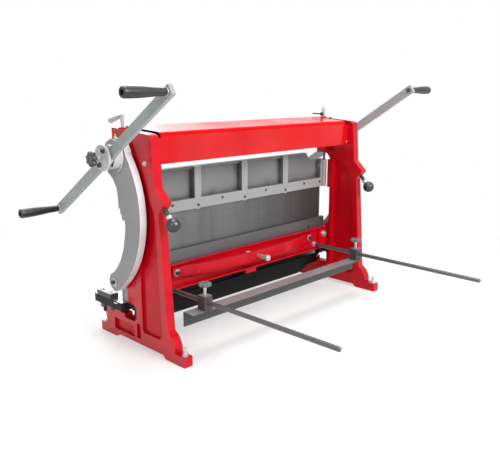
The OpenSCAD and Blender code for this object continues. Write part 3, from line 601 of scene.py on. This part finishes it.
# %% Rings joined to a skin
MM = 0.001
TURN = 2 * math.pi
SIDES = {-1: "left", 1: "right"}
ALONG_Y, UP, TO_GAUGE, OUTWARD = (0, 1, 0), (0, 0, 1), (0, -1, 0), (1, 0, 0)


def spot(origin, axis, roll=0.0):
    """A matrix that lays local +Z along an axis, at a point in millimetres."""
    turn = Vector(axis).to_track_quat("Z", "Y").to_matrix().to_4x4()
    return (Matrix.Translation(Vector(origin) * MM) @ turn
            @ Matrix.Rotation(math.radians(roll), 4, "Z"))


def of_angle(value, angle):
    return value(angle) if callable(value) else value


def skin(bm, at, rings, steps):
    """Joins rings of (height, radius) in millimetres. Radius 0 is a pole."""
    last = None
    for height, radius in rings:
        if not callable(radius) and radius == 0:
            row = [bm.verts.new(at @ Vector((0, 0, height * MM)))] * steps
        else:
            row = []
            for i in range(steps):
                a = TURN * i / steps
                r, z = of_angle(radius, a) * MM, of_angle(height, a) * MM
                row.append(bm.verts.new(at @ Vector((r * math.cos(a), r * math.sin(a), z))))
        if last:
            for i in range(steps):
                j = (i + 1) % steps
                corners = list(dict.fromkeys((last[i], last[j], row[j], row[i])))
                if len(corners) > 2:
                    bm.faces.new(corners)
        last = row

# %% [markdown]
# ## Sets of fasteners
#
# Most fasteners come in pairs, one at each end of the machine, and each of
# them is a few skins one over another: a shank, a washer, a nut. The place on
# the right side and a list of skins with their steps round say all of it.

# %% Turned pieces and pairs
def turned(name, body, slot, stands_for, skins, crease=CREASE, finish=None):
    """One piece from skins, each given as a matrix, its rings and its steps."""
    bm = bmesh.new()
    for at, rings, steps in skins:
        skin(bm, at, rings, steps)
    bmesh.ops.recalc_face_normals(bm, faces=bm.faces)
    as_piece(bm, name, body, slot, stands_for, crease, finish)


def pair(x, y, z, axis, roll, *parts, mirror=False):
    """Skins at a place and at its mirror place. `mirror` turns the roll over too."""
    return [(spot((side * x, y, z), (side * axis[0], *axis[1:]), roll * side if mirror else roll),
             rings, steps) for side in SIDES for rings, steps in parts]

# %% [markdown]
# ## Hexagons, threads and heads
#
# Half the width over the flats gives a hexagon, and a cone limits its
# corners: the arcs on the faces of a nut come from that cut. A socket is a
# hexagon turned inward. A thread is rings that rise by one pitch in a turn,
# so that crest and root run up the screw as a helix.

# %% Rings of nuts, washers, threads and heads
CONE_FOOT, CONE_RISE, CONE_FACE = 0.96, 0.58, 0.9
WASHER_EDGE = 0.3


def hexagon(flat, cone=math.inf):
    """Radius of a hexagon by its half width over flats, cut by a cone."""
    def radius(a):
        return min(flat / math.cos((a + math.pi / 6) % (math.pi / 3) - math.pi / 6), cone)
    return radius


def nut_rings(flat, low, high, bore=0.0, both=True):
    """A nut, or a bolt head where `both` is off: then only its top has the cone."""
    corner, foot = flat / math.cos(math.pi / 6), flat * CONE_FOOT
    cut = (corner - foot) * CONE_RISE
    cone = [(k / 3.0 * cut, hexagon(flat, foot + k / 3.0 * (corner - foot))) for k in range(4)]
    face = hexagon(flat, flat * CONE_FACE)
    rings = [(low, bore), (low, face)] if both else [(low, bore), (low, hexagon(flat))]
    rings += [(low + lift, edge) for lift, edge in cone] if both else []
    rings += [(high - lift, edge) for lift, edge in reversed(cone)]
    rings += [(high, face), (high, bore)]
    return rings + [(low, bore)] if bore else rings


def washer_rings(radius, low, high, bore):
    e = WASHER_EDGE
    return [(low, bore), (low, radius - e), (low + e, radius), (high - e, radius),
            (high, radius - e), (high, bore), (low, bore)]


def shank_rings(radius, low, high):
    return [(low, 0), (low, radius), (high, radius), (high, 0)]


def thread_rings(radius, pitch, low, high):
    """A true helix: the height of each ring climbs one pitch in a turn."""
    def climbing(level):
        return lambda a: min(max(level + pitch * a / TURN, low), high)

    root = radius - 0.55 * pitch
    rings = [(low, 0), (low, root)]
    for k in range(int((high - low) / pitch * 4) + 6):
        level = low + (k / 4.0 - 1.25) * pitch
        rings.append((climbing(level), radius if k % 4 in (1, 2) else root))
    tip = high + 0.4 * pitch
    return rings + [(high, root), (tip, radius - 1.1 * pitch), (tip, 0)]


def socket_head_rings(radius, low, high, socket, deep):
    """A cylinder head with its hexagon socket, front up."""
    edge = min(0.5, radius * 0.1)
    return [(low, 0), (low, radius), (high - edge, radius),
            (high - edge * 0.3, radius - edge * 0.3), (high, radius - edge),
            (high, socket * 1.22), (high - 0.35, hexagon(socket, socket * 1.15)),
            (high - deep, hexagon(socket)), (high - deep - 0.6, 0)]


M8, M10, M12 = (4.0, 1.25), (5.0, 1.5), (6.0, 1.75)
print("a thread of ten millimetres has", len(thread_rings(*M8, 0.0, 10.0)), "rings")

# %% [markdown]
# ## The bowed bar
#
# The bar in front of the bed is bent from a flat, and near its two ends the
# bow runs out softly into the seats of the screws. An outline seen from above
# says all of it: the back follows a circle, the front the same circle one
# thickness further out, eased into the flat of the seat. The outline is then
# raised to the height of the bar, and its edges are broken.

# %% The bowed bar
BOW_HALF, BOW_SAG, BOW_THICK, SEAT_Y, BEAM_FACE = 300.0, 38.3, 8.0, 8.0, 20.0
BOW_LOW, BOW_HIGH, SEAT_LONG, EASE_LONG, BOW_STEPS = 158.0, 188.0, 30.0, 55.0, 120
bow_r = (BOW_HALF ** 2 + BOW_SAG ** 2) / (2 * BOW_SAG)
bow_centre = BEAM_FACE - BOW_SAG + bow_r


def bow_back(x):
    if abs(x) > BOW_HALF - SEAT_LONG:
        return BEAM_FACE
    return bow_centre - math.sqrt(bow_r ** 2 - x * x)


def bow_front(x):
    arc = bow_centre - math.sqrt((bow_r + BOW_THICK) ** 2 - x * x)
    t = min(max((abs(x) - BOW_HALF + SEAT_LONG + EASE_LONG) / EASE_LONG, 0.0), 1.0)
    ease = t * t * (3 - 2 * t)
    return arc * (1 - ease) + SEAT_Y * ease


across = [-BOW_HALF + 2 * BOW_HALF * k / BOW_STEPS for k in range(BOW_STEPS + 1)]
outline = [(x, bow_front(x)) for x in across] + [(x, bow_back(x)) for x in reversed(across)]
bm = bmesh.new()
low, high = ([bm.verts.new((x * MM, y * MM, z * MM)) for x, y in outline]
             for z in (BOW_LOW, BOW_HIGH))
for k in range(len(outline)):
    j = (k + 1) % len(outline)
    bm.faces.new((low[k], low[j], high[j], high[k]))
bm.faces.new(low)
bm.faces.new(high)
bmesh.ops.recalc_face_normals(bm, faces=bm.faces)
break_edges(bm, 0.001)
bmesh.ops.recalc_face_normals(bm, faces=bm.faces)
as_piece(bm, "camber_bow", "base", "red_paint", ("camber_bar",))

# %% [markdown]
# ## Painted shade at the end of the guard
#
# The cut end of the guard at the lever carries a thin black strip, a painted
# shade for the dark gap seen there between the guard and the head. It follows
# the sheet round its nose and back over the rolls. The path is the middle
# line of the sheet, and the profile is a small rectangle square to it.

# %% Guard end shade strip
NOSE_Y, NOSE_Z, NOSE_MID, EDGE_WIDE = -44.0, 549.0, 11.5, 2.5
EDGE_IN, EDGE_OUT = -376.5, -381.5
bends = [math.radians(a) for a in range(0, 93, 6)]
sheet = [(NOSE_Y - NOSE_MID * math.cos(a), NOSE_Z + NOSE_MID * math.sin(a)) for a in bends]
sheet += [(20.0, 564.6), (83.0, 568.8)]
bm = bmesh.new()
last = None
for k, (y, z) in enumerate(sheet):
    y0, z0 = sheet[max(k - 1, 0)]
    y1, z1 = sheet[min(k + 1, len(sheet) - 1)]
    out = Vector((z0 - z1, y1 - y0)).normalized() * EDGE_WIDE
    row = [bm.verts.new((x * MM, (y + w * out.x) * MM, (z + w * out.y) * MM))
           for x, w in ((EDGE_IN, 1), (EDGE_OUT, 1), (EDGE_OUT, -1), (EDGE_IN, -1))]
    if last:
        for i in range(4):
            j = (i + 1) % 4
            bm.faces.new((last[i], last[j], row[j], row[i]))
    else:
        bm.faces.new(row)
    last = row
bm.faces.new(last)
bmesh.ops.recalc_face_normals(bm, faces=bm.faces)
as_piece(bm, "guard_end_shade_strip", "base", "black_plastic", finish=chute_black)

# %% [markdown]
# ## Studs and screws of the feet
#
# A zinc stud stands in each front foot, with a washer and a nut on it, and a
# longer one at the back reaches up into the table and levels it. The threads
# show against the white floor, so they are real helices of 1.25 mm pitch.

# %% Foot studs and levelling screws
FOOT_X, FOOT_Y = 407.8, 170.0


def foot_screws(y, roll, top, *more):
    """A thread that starts in each foot, with its washer and its nut."""
    return pair(FOOT_X, y, 0, UP, roll, (thread_rings(*M8, 8, top), 24),
                (washer_rings(8.8, 26, 27.6, 4), 36), (nut_rings(6.5, 27.6, 34.1, 4), 48),
                *more, mirror=True)


turned("foot_stud_set", "base", "zinc", ("foot_studs",), foot_screws(-FOOT_Y, 12, 46.4))
turned("levelling_screw_set", "base", "zinc", ("levelling_screws",),
       foot_screws(FOOT_Y, 20, 84.4, (nut_rings(6.2, 44, 51, 4), 48)))

# %% [markdown]
# ## Screws of the bowed bar
#
# The bowed bar is held at each end by a black socket screw on a bright
# washer, and pulled straight by a long bolt in its middle. The bolt's head is
# a hexagon with one cone only, since its other face is turned to a collar.

# %% Screws of the bowed bar
BOW_MID, BOLT_HEAD_Y, BOLT_END_Y = 173, -61, -27
BOW_SEAT = (285, 6, BOW_MID, TO_GAUGE)
turned("camber_screw_set", "base", "black_oxide", ("camber_screws",), pair(
    *BOW_SEAT, 9, (socket_head_rings(6.5, 0, 8, 3.1, 4.2), 48), (shank_rings(4, -20, 0), 24)))
turned("camber_washers", "base", "zinc", (), pair(
    *BOW_SEAT, 0, (washer_rings(10, -2, 0, 4), 40)))
head = spot((0, BOLT_HEAD_Y, BOW_MID), TO_GAUGE, 10)
turned("camber_bolt_turned", "camber", "zinc", ("camber_bolt",), [
    (head, nut_rings(8.8, 0, 8, both=False), 48),
    (head, [(-34, 0), (-34, 6), (-0.2, 6), (0, 6.4), (0, 0)], 36),
    (spot((0, BOLT_END_Y, BOW_MID), ALONG_Y), thread_rings(*M12, 0, 46), 28)])

# %% [markdown]
# ## Bolts of the bed beam and nuts of the gauge rods
#
# Hexagon bolts with thick washers hold the beam to the frames, and bright
# nuts lock the gauge rods. Each bolt has its own angle, because nobody lines
# up the flats when tightening.

# %% Beam bolts and rod nuts
BEAM_X, BEAM_Z, ROD_X, ROD_Z = 362, 174, 325, 141
turned("beam_bolt_set", "base", "zinc", ("beam_bolts",), pair(
    BEAM_X, 9, BEAM_Z, TO_GAUGE, 14, (washer_rings(11, 0, 2, 5), 40), (nut_rings(8, 2, 8.6), 48),
    ([(8.4, 4.2), (9, 3.4), (9, 0)], 24), (shank_rings(5, -17, 2), 24), mirror=True))
turned("rod_nut_set", "base", "zinc", ("rod_nuts",), pair(
    ROD_X, 20, ROD_Z, TO_GAUGE, 8,
    (washer_rings(10.5, 0, 1.6, 6), 40), (nut_rings(8.6, 1.6, 9, 6), 48)))

# %% [markdown]
# ## Small fasteners on the frames and the cranks
#
# Each end frame carries a hexagon bolt with a washer beside the guard. A
# brass grease nipple stands on the ring of each crescent link and feeds the
# bearing below it, so it rides with the ram. The two hub flanges have two
# socket screws each, one on each side of the arm.

# %% Frame bolts, nipples and hub screws
FRAME_OUT, LINK_IN, LINK_OUT, FLANGE_OUT = 420.6, 427.5, 447, 497.5
HUB_Y, HUB_Z, HUB_SCREW_R, HUB_SCREW_TURNS = 17, 503, 20, (118, 298)
turned("frame_bolt_set", "base", "zinc", ("frame_pins",), pair(
    FRAME_OUT, -51, 489, OUTWARD, 17, (washer_rings(6.4, 0, 1.4, 4), 36),
    (nut_rings(4.85, 1.4, 5), 48), (shank_rings(4, -10, 1.4), 20)))
turned("grease_nipple_set", "ram", "brass", ("grease_nipples",), pair(
    (LINK_IN + LINK_OUT) / 2, 46, 545.4, UP, 10, (nut_rings(3.98, 0, 4), 48),
    ([(-4.6, 0), (-4.6, 3), (4, 3), (4, 2.5), (5.2, 2.2), (6, 1.6), (6.8, 1.6), (7.4, 2.4),
      (8.3, 2.75), (9.2, 2.3), (10.1, 1.4), (10.1, 0.7), (9.6, 0)], 24)))


def hub_screw(side, a):
    y, z = HUB_Y + HUB_SCREW_R * math.cos(a), HUB_Z + HUB_SCREW_R * math.sin(a)
    return spot((side * FLANGE_OUT, y, z), (side, 0, 0), 11)


turned("hub_screw_set", "crank", "black_oxide", ("hub_screws",), [
    (hub_screw(side, math.radians(a)), socket_head_rings(6, 0, 5, 2.8, 3.4), 48)
    for side in SIDES for a in HUB_SCREW_TURNS])

# %% [markdown]
# ## Foot pins of the links
#
# The foot of each crescent link hangs on a pin from the ram beam. The pin has
# a low bright cap, a wide washer behind the link, and a black socket screw in
# the middle of the cap that keeps it from walking out.

# %% Link pins
LINK_PIN = (LINK_OUT, 64.5, 171, OUTWARD, 23)
turned("link_pin_set", "ram", "zinc", ("link_pins",), pair(
    *LINK_PIN, ([(0, 6), (0, 10.7), (0.3, 11), (2.2, 11), (3.2, 10), (3.2, 0)], 44),
    (shank_rings(6, -49, 2), 28), (washer_rings(13, -28.8, LINK_IN - LINK_OUT, 6), 40)),
    finish=pale_zinc)
turned("link_pin_screw_set", "ram", "black_oxide", (), pair(
    *LINK_PIN, (socket_head_rings(5.6, 3.2, 9, 2.8, 3.6), 48)))

# %% [markdown]
# ## Painted and plain screws of the guard
#
# A small domed screw holds each end tab of the guard. Two larger cap screws
# beside the lock tee were painted over with the rest, so only their round
# shape shows: one on the head of the right frame, a lower one on the guard.

# %% Screws of the guard
turned("guard_screw_set", "base", "zinc", ("guard_screws",), pair(
    389, -57, 494, TO_GAUGE, 0,
    ([(-9, 0), (-9, 2), (0, 2), (0, 2.8), (0.6, 2.7), (1.2, 2.2), (1.6, 1.2), (1.6, 0)], 28)))


def cap_rings(radius, tall):
    """A head under thick paint: every edge has gone round."""
    return [(0, 0), (0, radius), (tall * 0.5, radius), (tall * 0.8, radius * 0.86),
            (tall * 0.96, radius * 0.55), (tall, 0)]


turned("red_cap_screws", "base", "red_paint", (), [
    (spot((408, 27, 564), UP), cap_rings(6, 6.2), 32),
    (spot((346, 17, 565.4), UP), cap_rings(5.6, 2.8), 32)])

# %% [markdown]
# ## Slots and clamps of the table
#
# Each ear of the table has a long slot. It is drawn as two flat slugs with
# round ends, one a hair above the other: a dark one, painted shade inside the
# slot, and a pale one, painted light for the brightness seen through it. Two
# bolts come up through each clamp block from below. Their ends are flush with
# its top, with a turned recess, and their heads hang under the table.

# %% Table slots and clamp bolts
SLOT_X, SLOT_Y, SLOT_FLOOR, CLAMP_X = 447, 68, 111.5, 429


def slot_edge(half_long, radius):
    """The radius of a slot that is long along Y, for each angle."""
    def edge(a):
        across, along = abs(math.cos(a)), abs(math.sin(a))
        if across * half_long > along * radius:
            return radius / across
        return half_long * along + math.sqrt(radius ** 2 - (half_long * across) ** 2)
    return edge


# The dark slug is painted shade in the slot, the pale one painted light seen through it.
for name, half_long, radius, top, slot, finish in (
        ("table_slot_rims", 7.0, 4.6, 112.25, "black_paint", chute_black),
        ("table_slot_floors", 6.0, 2.4, 112.45, "zinc", pale_zinc)):
    turned(name, "base", slot, (), pair(
        SLOT_X, SLOT_Y, 0, UP, 0,
        (shank_rings(slot_edge(half_long, radius), SLOT_FLOOR, top), 64)), finish=finish)
turned("clamp_bolt_set", "base", "black_oxide", ("clamp_bolts",), [
    (spot((side * CLAMP_X, y, 0), UP, 31), rings, steps)
    for side in SIDES for y in (116, 156) for rings, steps in (
        ([(124, 0), (124, 6.5), (126.5, 6.5), (126.8, 6.2), (126.8, 4.4), (126.4, 4.0),
          (126.4, 0)], 40),
        (thread_rings(*M8, 78, 124), 24),
        ([(76, 0), (76, 5.6), (77, 6.8), (88, 7), (90, 7), (90, 0)], 28))],
    finish=rod_steel)

# %% [markdown]
# ## Star knobs
#
# A star knob is moulded resin on a steel stud. Its rim is a wave of seven
# lobes, round over the top, with a low dome and a small dimple in the middle.
# The radius of every ring is the same wave, only smaller near the faces, which
# gives the roundness that a cut-out star doesn't have.

# %% Star knobs
LOBES = 7
KNOB_SIDE = ((0.06, 0.86), (0.12, 0.94), (0.24, 0.99), (0.4, 1.0), (0.62, 1.0), (0.78, 0.985),
             (0.9, 0.94), (0.97, 0.87))


def star(radius, bite=0.24):
    def wave(a):
        swing = 0.5 - 0.5 * math.cos(LOBES * a)
        return radius * (1 - bite * swing ** 1.6)
    return wave


def star_knob_rings(radius, low, high):
    tall = high - low
    rings = [(low, 0), (low, radius * 0.45), (low + 0.06 * tall, radius * 0.5)]
    rings += [(low + lift * tall, star(radius * size)) for lift, size in KNOB_SIDE]
    return rings + [(high, star(radius * 0.74, 0.16)), (high, radius * 0.4),
                    (high - 0.02 * tall, radius * 0.3), (high - 0.1 * tall, radius * 0.16),
                    (high - 0.12 * tall, 0)]


clutch = spot((0, HUB_Y, HUB_Z), (-1, 0, 0), 8)
turned("clutch_star_knob", "clutch", "knob_plastic", ("clutch_knob",),
       [(clutch, star_knob_rings(19, 518, 531), 112)])
turned("clutch_stud", "clutch", "zinc", (), [
    (clutch, thread_rings(*M10, 492.3, 512), 28),
    (clutch, [(510, 0), (510, 7.6), (511.5, 8.6), (516, 9), (518.6, 9.6), (519, 0)], 40)])
for side, word in SIDES.items():
    at = spot((side * ROD_X, -152, 0), UP, 15 + 20 * side)
    turned(f"gauge_star_{word}", f"gauge_{word}", "knob_plastic", (f"gauge_knob_{word}",),
           [(at, star_knob_rings(17.5, 181, 191), 112)], finish=grey_resin)
    turned(f"gauge_stem_{word}", f"gauge_{word}", "zinc", (), [
        (at, thread_rings(*M8, 147.4, 172.2), 24),
        (at, [(171, 0), (171, 4.2), (178, 4.6), (179.5, 6.4), (181.4, 7), (181.6, 0)], 36)])

# %% [markdown]
# ## Ball screws under the noses
#
# The two balls turn the screws that lift and press the rolls. A ball knob is
# a dark sphere with a flat where it meets its bright neck, on a threaded rod
# that runs into the nose of the frame at a slant.

# %% Ball screws
SLANT = math.radians(137)
BALL_R, BALL_FLAT, BALL_LOW, BALL_CUT, BALL_ROWS = 17.5, 3, 33, 0.59, 24
ball_axis = (0, -math.sin(SLANT), math.cos(SLANT))
centre = BALL_LOW + BALL_R - BALL_FLAT
rows = [-math.pi / 2 + BALL_CUT + (math.pi - BALL_CUT) * k / BALL_ROWS for k in range(BALL_ROWS)]
ball_rings = [(BALL_LOW, 0), *((centre + BALL_R * math.sin(a), BALL_R * math.cos(a))
                               for a in rows), (centre + BALL_R, 0)]
for side, word in SIDES.items():
    at = spot((side * FOOT_X, -105, 383.5), ball_axis)
    turned(f"ball_knob_{word}", f"ball_{word}", "ball_steel", (f"ball_screw_{word}",),
           [(at, ball_rings, 48)], crease=60)
    turned(f"ball_neck_{word}", f"ball_{word}", "zinc", (), [
        (at, [(22, 0), (22, 7.2), (22.6, 8), (26, 8), (27, 7.2), (30, 7.4), (33, 9.8),
              (33.4, 9.8), (33.4, 0)], 40)])
    turned(f"ball_rod_{word}", f"ball_{word}", "black_oxide", (), [
        (at, thread_rings(*M12, -49, 14), 28),
        (at, [(13, 0), (13, 5.1), (14, 6), (22.2, 6), (22.2, 0)], 28)])

# %% [markdown]
# ## Crank grips
#
# Each arm ends in a freely turning grip of smooth black plastic, slim at the
# arm and full near the outer end, where its long screw ends in a recess. The
# curve through a few measured radii is a spline, since a grip with straight
# cones would show a ridge in every highlight.

# %% Grips
TILT = math.radians(32.6)
ARM_REACH, GRIP_IN, SCREW_HEAD_X, GRIP_WASHER_X = 290, 490.3, 474, 486
GRIP_RADII = ((0, 7.4), (2, 8.6), (6, 9), (20, 9.3), (38, 10.2), (55, 11.5), (72, 12.3),
              (86, 12.5), (97, 12.5), (103.4, 12.2), (106.2, 11.2), (107, 9.6))
GRIP_RECESS = ((107, 8.4), (106.1, 8), (106.1, 6.6), (106.9, 6.2), (106.6, 5.6), (105, 5.2),
               (99.5, 5.05), (99.5, 4.4), (100.4, 3.8), (100.4, 0))


def through(points, samples):
    """A smooth curve through points, in small steps."""
    ends = [points[0], *points, points[-1]]
    curve = []
    for k in range(1, len(ends) - 2):
        p0, p1, p2, p3 = ends[k - 1:k + 3]
        for s in range(samples):
            t = s / samples
            curve.append(tuple(
                0.5 * (2 * p1[i] + (p2[i] - p0[i]) * t
                       + (2 * p0[i] - 5 * p1[i] + 4 * p2[i] - p3[i]) * t * t
                       + (3 * p1[i] - p0[i] - 3 * p2[i] + p3[i]) * t ** 3) for i in (0, 1)))
    return curve + [points[-1]]


def arm_end(side, lift, x, way, roll=0.0):
    """The end of an arm, at a distance from the middle, looking out or in."""
    y = HUB_Y - lift * ARM_REACH * math.cos(TILT)
    z = HUB_Z + lift * ARM_REACH * math.sin(TILT)
    return spot((side * x, y, z), (side * way, 0, 0), roll)


grip_rings = [(0, 5.05), *through(GRIP_RADII, 5), *GRIP_RECESS]
arms = [(side, lift) for side in SIDES for lift in (1, -1)]
for side, lift in arms:
    grip = f"grip_{SIDES[side]}_{'up' if lift > 0 else 'down'}"
    turned(grip + "_moulded", grip, "black_plastic", (grip,),
           [(arm_end(side, lift, GRIP_IN, 1), grip_rings, 48)])

# %% [markdown]
# ## Screws and washers of the grips
#
# The head of the long screw bears on the inner side of the arm, and a zinc
# washer keeps the grip off its outer side. They turn with the arm, not with
# the grip, so all four ride on the crank.

# %% Grip screws and washers
turned("grip_screw_set", "crank", "black_oxide", ("grip_pins",), [
    (arm_end(side, lift, SCREW_HEAD_X, -1, 19), rings, steps)
    for side, lift in arms for rings, steps in (
        (socket_head_rings(7, 0, 3, 3.5, 1.9), 48), (shank_rings(5, -111, 0), 28))])
turned("grip_washer_set", "crank", "zinc", ("grip_washers",), [
    (arm_end(side, lift, GRIP_WASHER_X, 1), washer_rings(9, 0, 4, 5), 40)
    for side, lift in arms])

# %% [markdown]
# ## Lock tee and gauge rods
#
# On the right head a bright post carries a dark ball with a thin cross rod.
# The gauge rods are drawn bar, blackened, with their ends turned to a dome so
# that nobody cuts a hand on them.

# %% Lock tee and rods
TEE_Y, TEE_Z, TEE_BALL_R, TEE_ROWS = 56, 568, 7.6, 12
tee = spot((FOOT_X, TEE_Y, TEE_Z), UP)
cross = spot((FOOT_X - 4, TEE_Y + 4, TEE_Z + 12), ALONG_Y)
turned("tee_post", "tee", "zinc", ("lock_tee",), [
    (tee, [(-21, 0), (-21, 4), (5, 4), (5, 5), (6, 5.5), (34.5, 5.5), (36, 4.6), (36, 0)], 32)])
sphere = [(-TEE_BALL_R * math.cos(math.pi * k / TEE_ROWS),
           TEE_BALL_R * math.sin(math.pi * k / TEE_ROWS) if 0 < k < TEE_ROWS else 0)
          for k in range(TEE_ROWS + 1)]
turned("tee_ball", "tee", "black_oxide", (), [(cross, sphere, 32)], crease=60, finish=knob_resin)
turned("tee_cross_rod", "tee", "black_oxide", (), [
    (cross, [(4, 0), (4, 2.4), (40, 2.4), (41.4, 1.6), (42, 0)], 20)], finish=rod_steel)
turned("gauge_rod_pair", "base", "black_oxide", ("gauge_rods",), pair(
    ROD_X, 0, ROD_Z, ALONG_Y, 0,
    ([(-574, 0), (-573.6, 2.6), (-572.4, 4.6), (-570.6, 5.7), (-568, 6), (26, 6), (26, 0)], 40)),
    finish=rod_steel)

# %% [markdown]
# ## White background
#
# The photograph is a product cut-out on pure white. The world shows white to
# the camera, to reflections and through glass, and a much weaker white to all
# other rays, so that it puts little light on the machine: Light Path tells
# the shader who is looking.

# %% World
WHITE, AMBIENT = (1.0, 1.0, 1.0), 0.25
world = bpy.data.worlds.new("studio")
bpy.context.scene.world = world
studio = Tree(world)
ambient, white = (studio.node("ShaderNodeBackground", None, {"Color": WHITE, "Strength": power})
                  for power in (AMBIENT, 1.0))
either = studio.node("ShaderNodeMixShader", None, {0: studio.white_rays(), 1: ambient, 2: white})
studio.node("ShaderNodeOutputWorld", None, {0: either}, ())
print("world:", len(studio.tree.nodes), "nodes")

# %% [markdown]
# ## Floor
#
# A wide pale floor carries the shadow of the machine. For the same rays it is
# half paper and half light near the machine, so that the shadow stays soft,
# and all light further out, where it meets the white of the background.

# %% Floor
FLOOR_REACH, WHITE_FROM, WHITE_FULL = 14.0, 0.75, 1.5
floor_mesh = bpy.data.meshes.new("studio_floor")
floor_mesh.from_pydata([(x * FLOOR_REACH, y * FLOOR_REACH, 0) for x, y in (
    (-1, -1), (1, -1), (1, 1), (-1, 1))], [], [(0, 1, 2, 3)])
studio_floor = bpy.data.objects.new("studio_floor", floor_mesh)
bpy.context.scene.collection.objects.link(studio_floor)
f = Finish("studio_floor_white")
shade = f.mix(f.noise(3.0, 2.0, 0.55), (0.93, 0.93, 0.93), (0.97, 0.97, 0.97))
paper = f.surface(Base_Color=shade, Roughness=0.85)
glow = f.node("ShaderNodeEmission", None, {"Color": WHITE})
away = f.ramp(f.place().vector_length(), WHITE_FROM, WHITE_FULL)
floor_mesh.materials.append(f.end(f.node("ShaderNodeMixShader", None, {
    0: f.white_rays() * (0.5 + 0.5 * away), 1: paper, 2: glow})))
print("floor", 2 * FLOOR_REACH, "m wide")

# %% [markdown]
# ## Studio lamps
#
# Five soft disks give the light of a studio. The key stands in front of the
# machine, a small side lamp lifts the inner face of the right frame, a wide
# one fills from the left, one from above draws the bright tops of the guard
# and the arms, and a last one from behind keeps the back views readable. They
# are hidden from the camera, since a view from the back could look into one.

# %% Lamps
MIDDLE = (0.0, 0.0, 0.35)
lamps = (
    ("key_lamp", (0.5, -3.6, 2.2), MIDDLE, 1.6, 106.0),
    ("side_lamp", (-0.45, -1.6, 1.8), (0.45, 0.0, 0.5), 0.6, 6.0),
    ("fill_lamp", (-6.4, -3.2, 3.4), MIDDLE, 3.8, 96.0),
    ("top_lamp", (0.0, 0.2, 3.6), MIDDLE, 2.2, 80.0),
    ("back_lamp", (1.4, 3.4, 2.2), MIDDLE, 2.4, 60.0),
)
for name, place, aim, size, watts in lamps:
    lamp = bpy.data.lights.new(name, "AREA")
    lamp.shape = "DISK"
    lamp.size = size
    lamp.energy = watts
    thing = bpy.data.objects.new(name, lamp)
    thing.location = place
    thing.rotation_euler = (Vector(aim) - Vector(place)).to_track_quat("-Z", "Y").to_euler()
    thing.visible_camera = False
    bpy.context.scene.collection.objects.link(thing)
bpy.context.scene.view_settings.view_transform = "Standard"
print("lamps:", len(lamps))
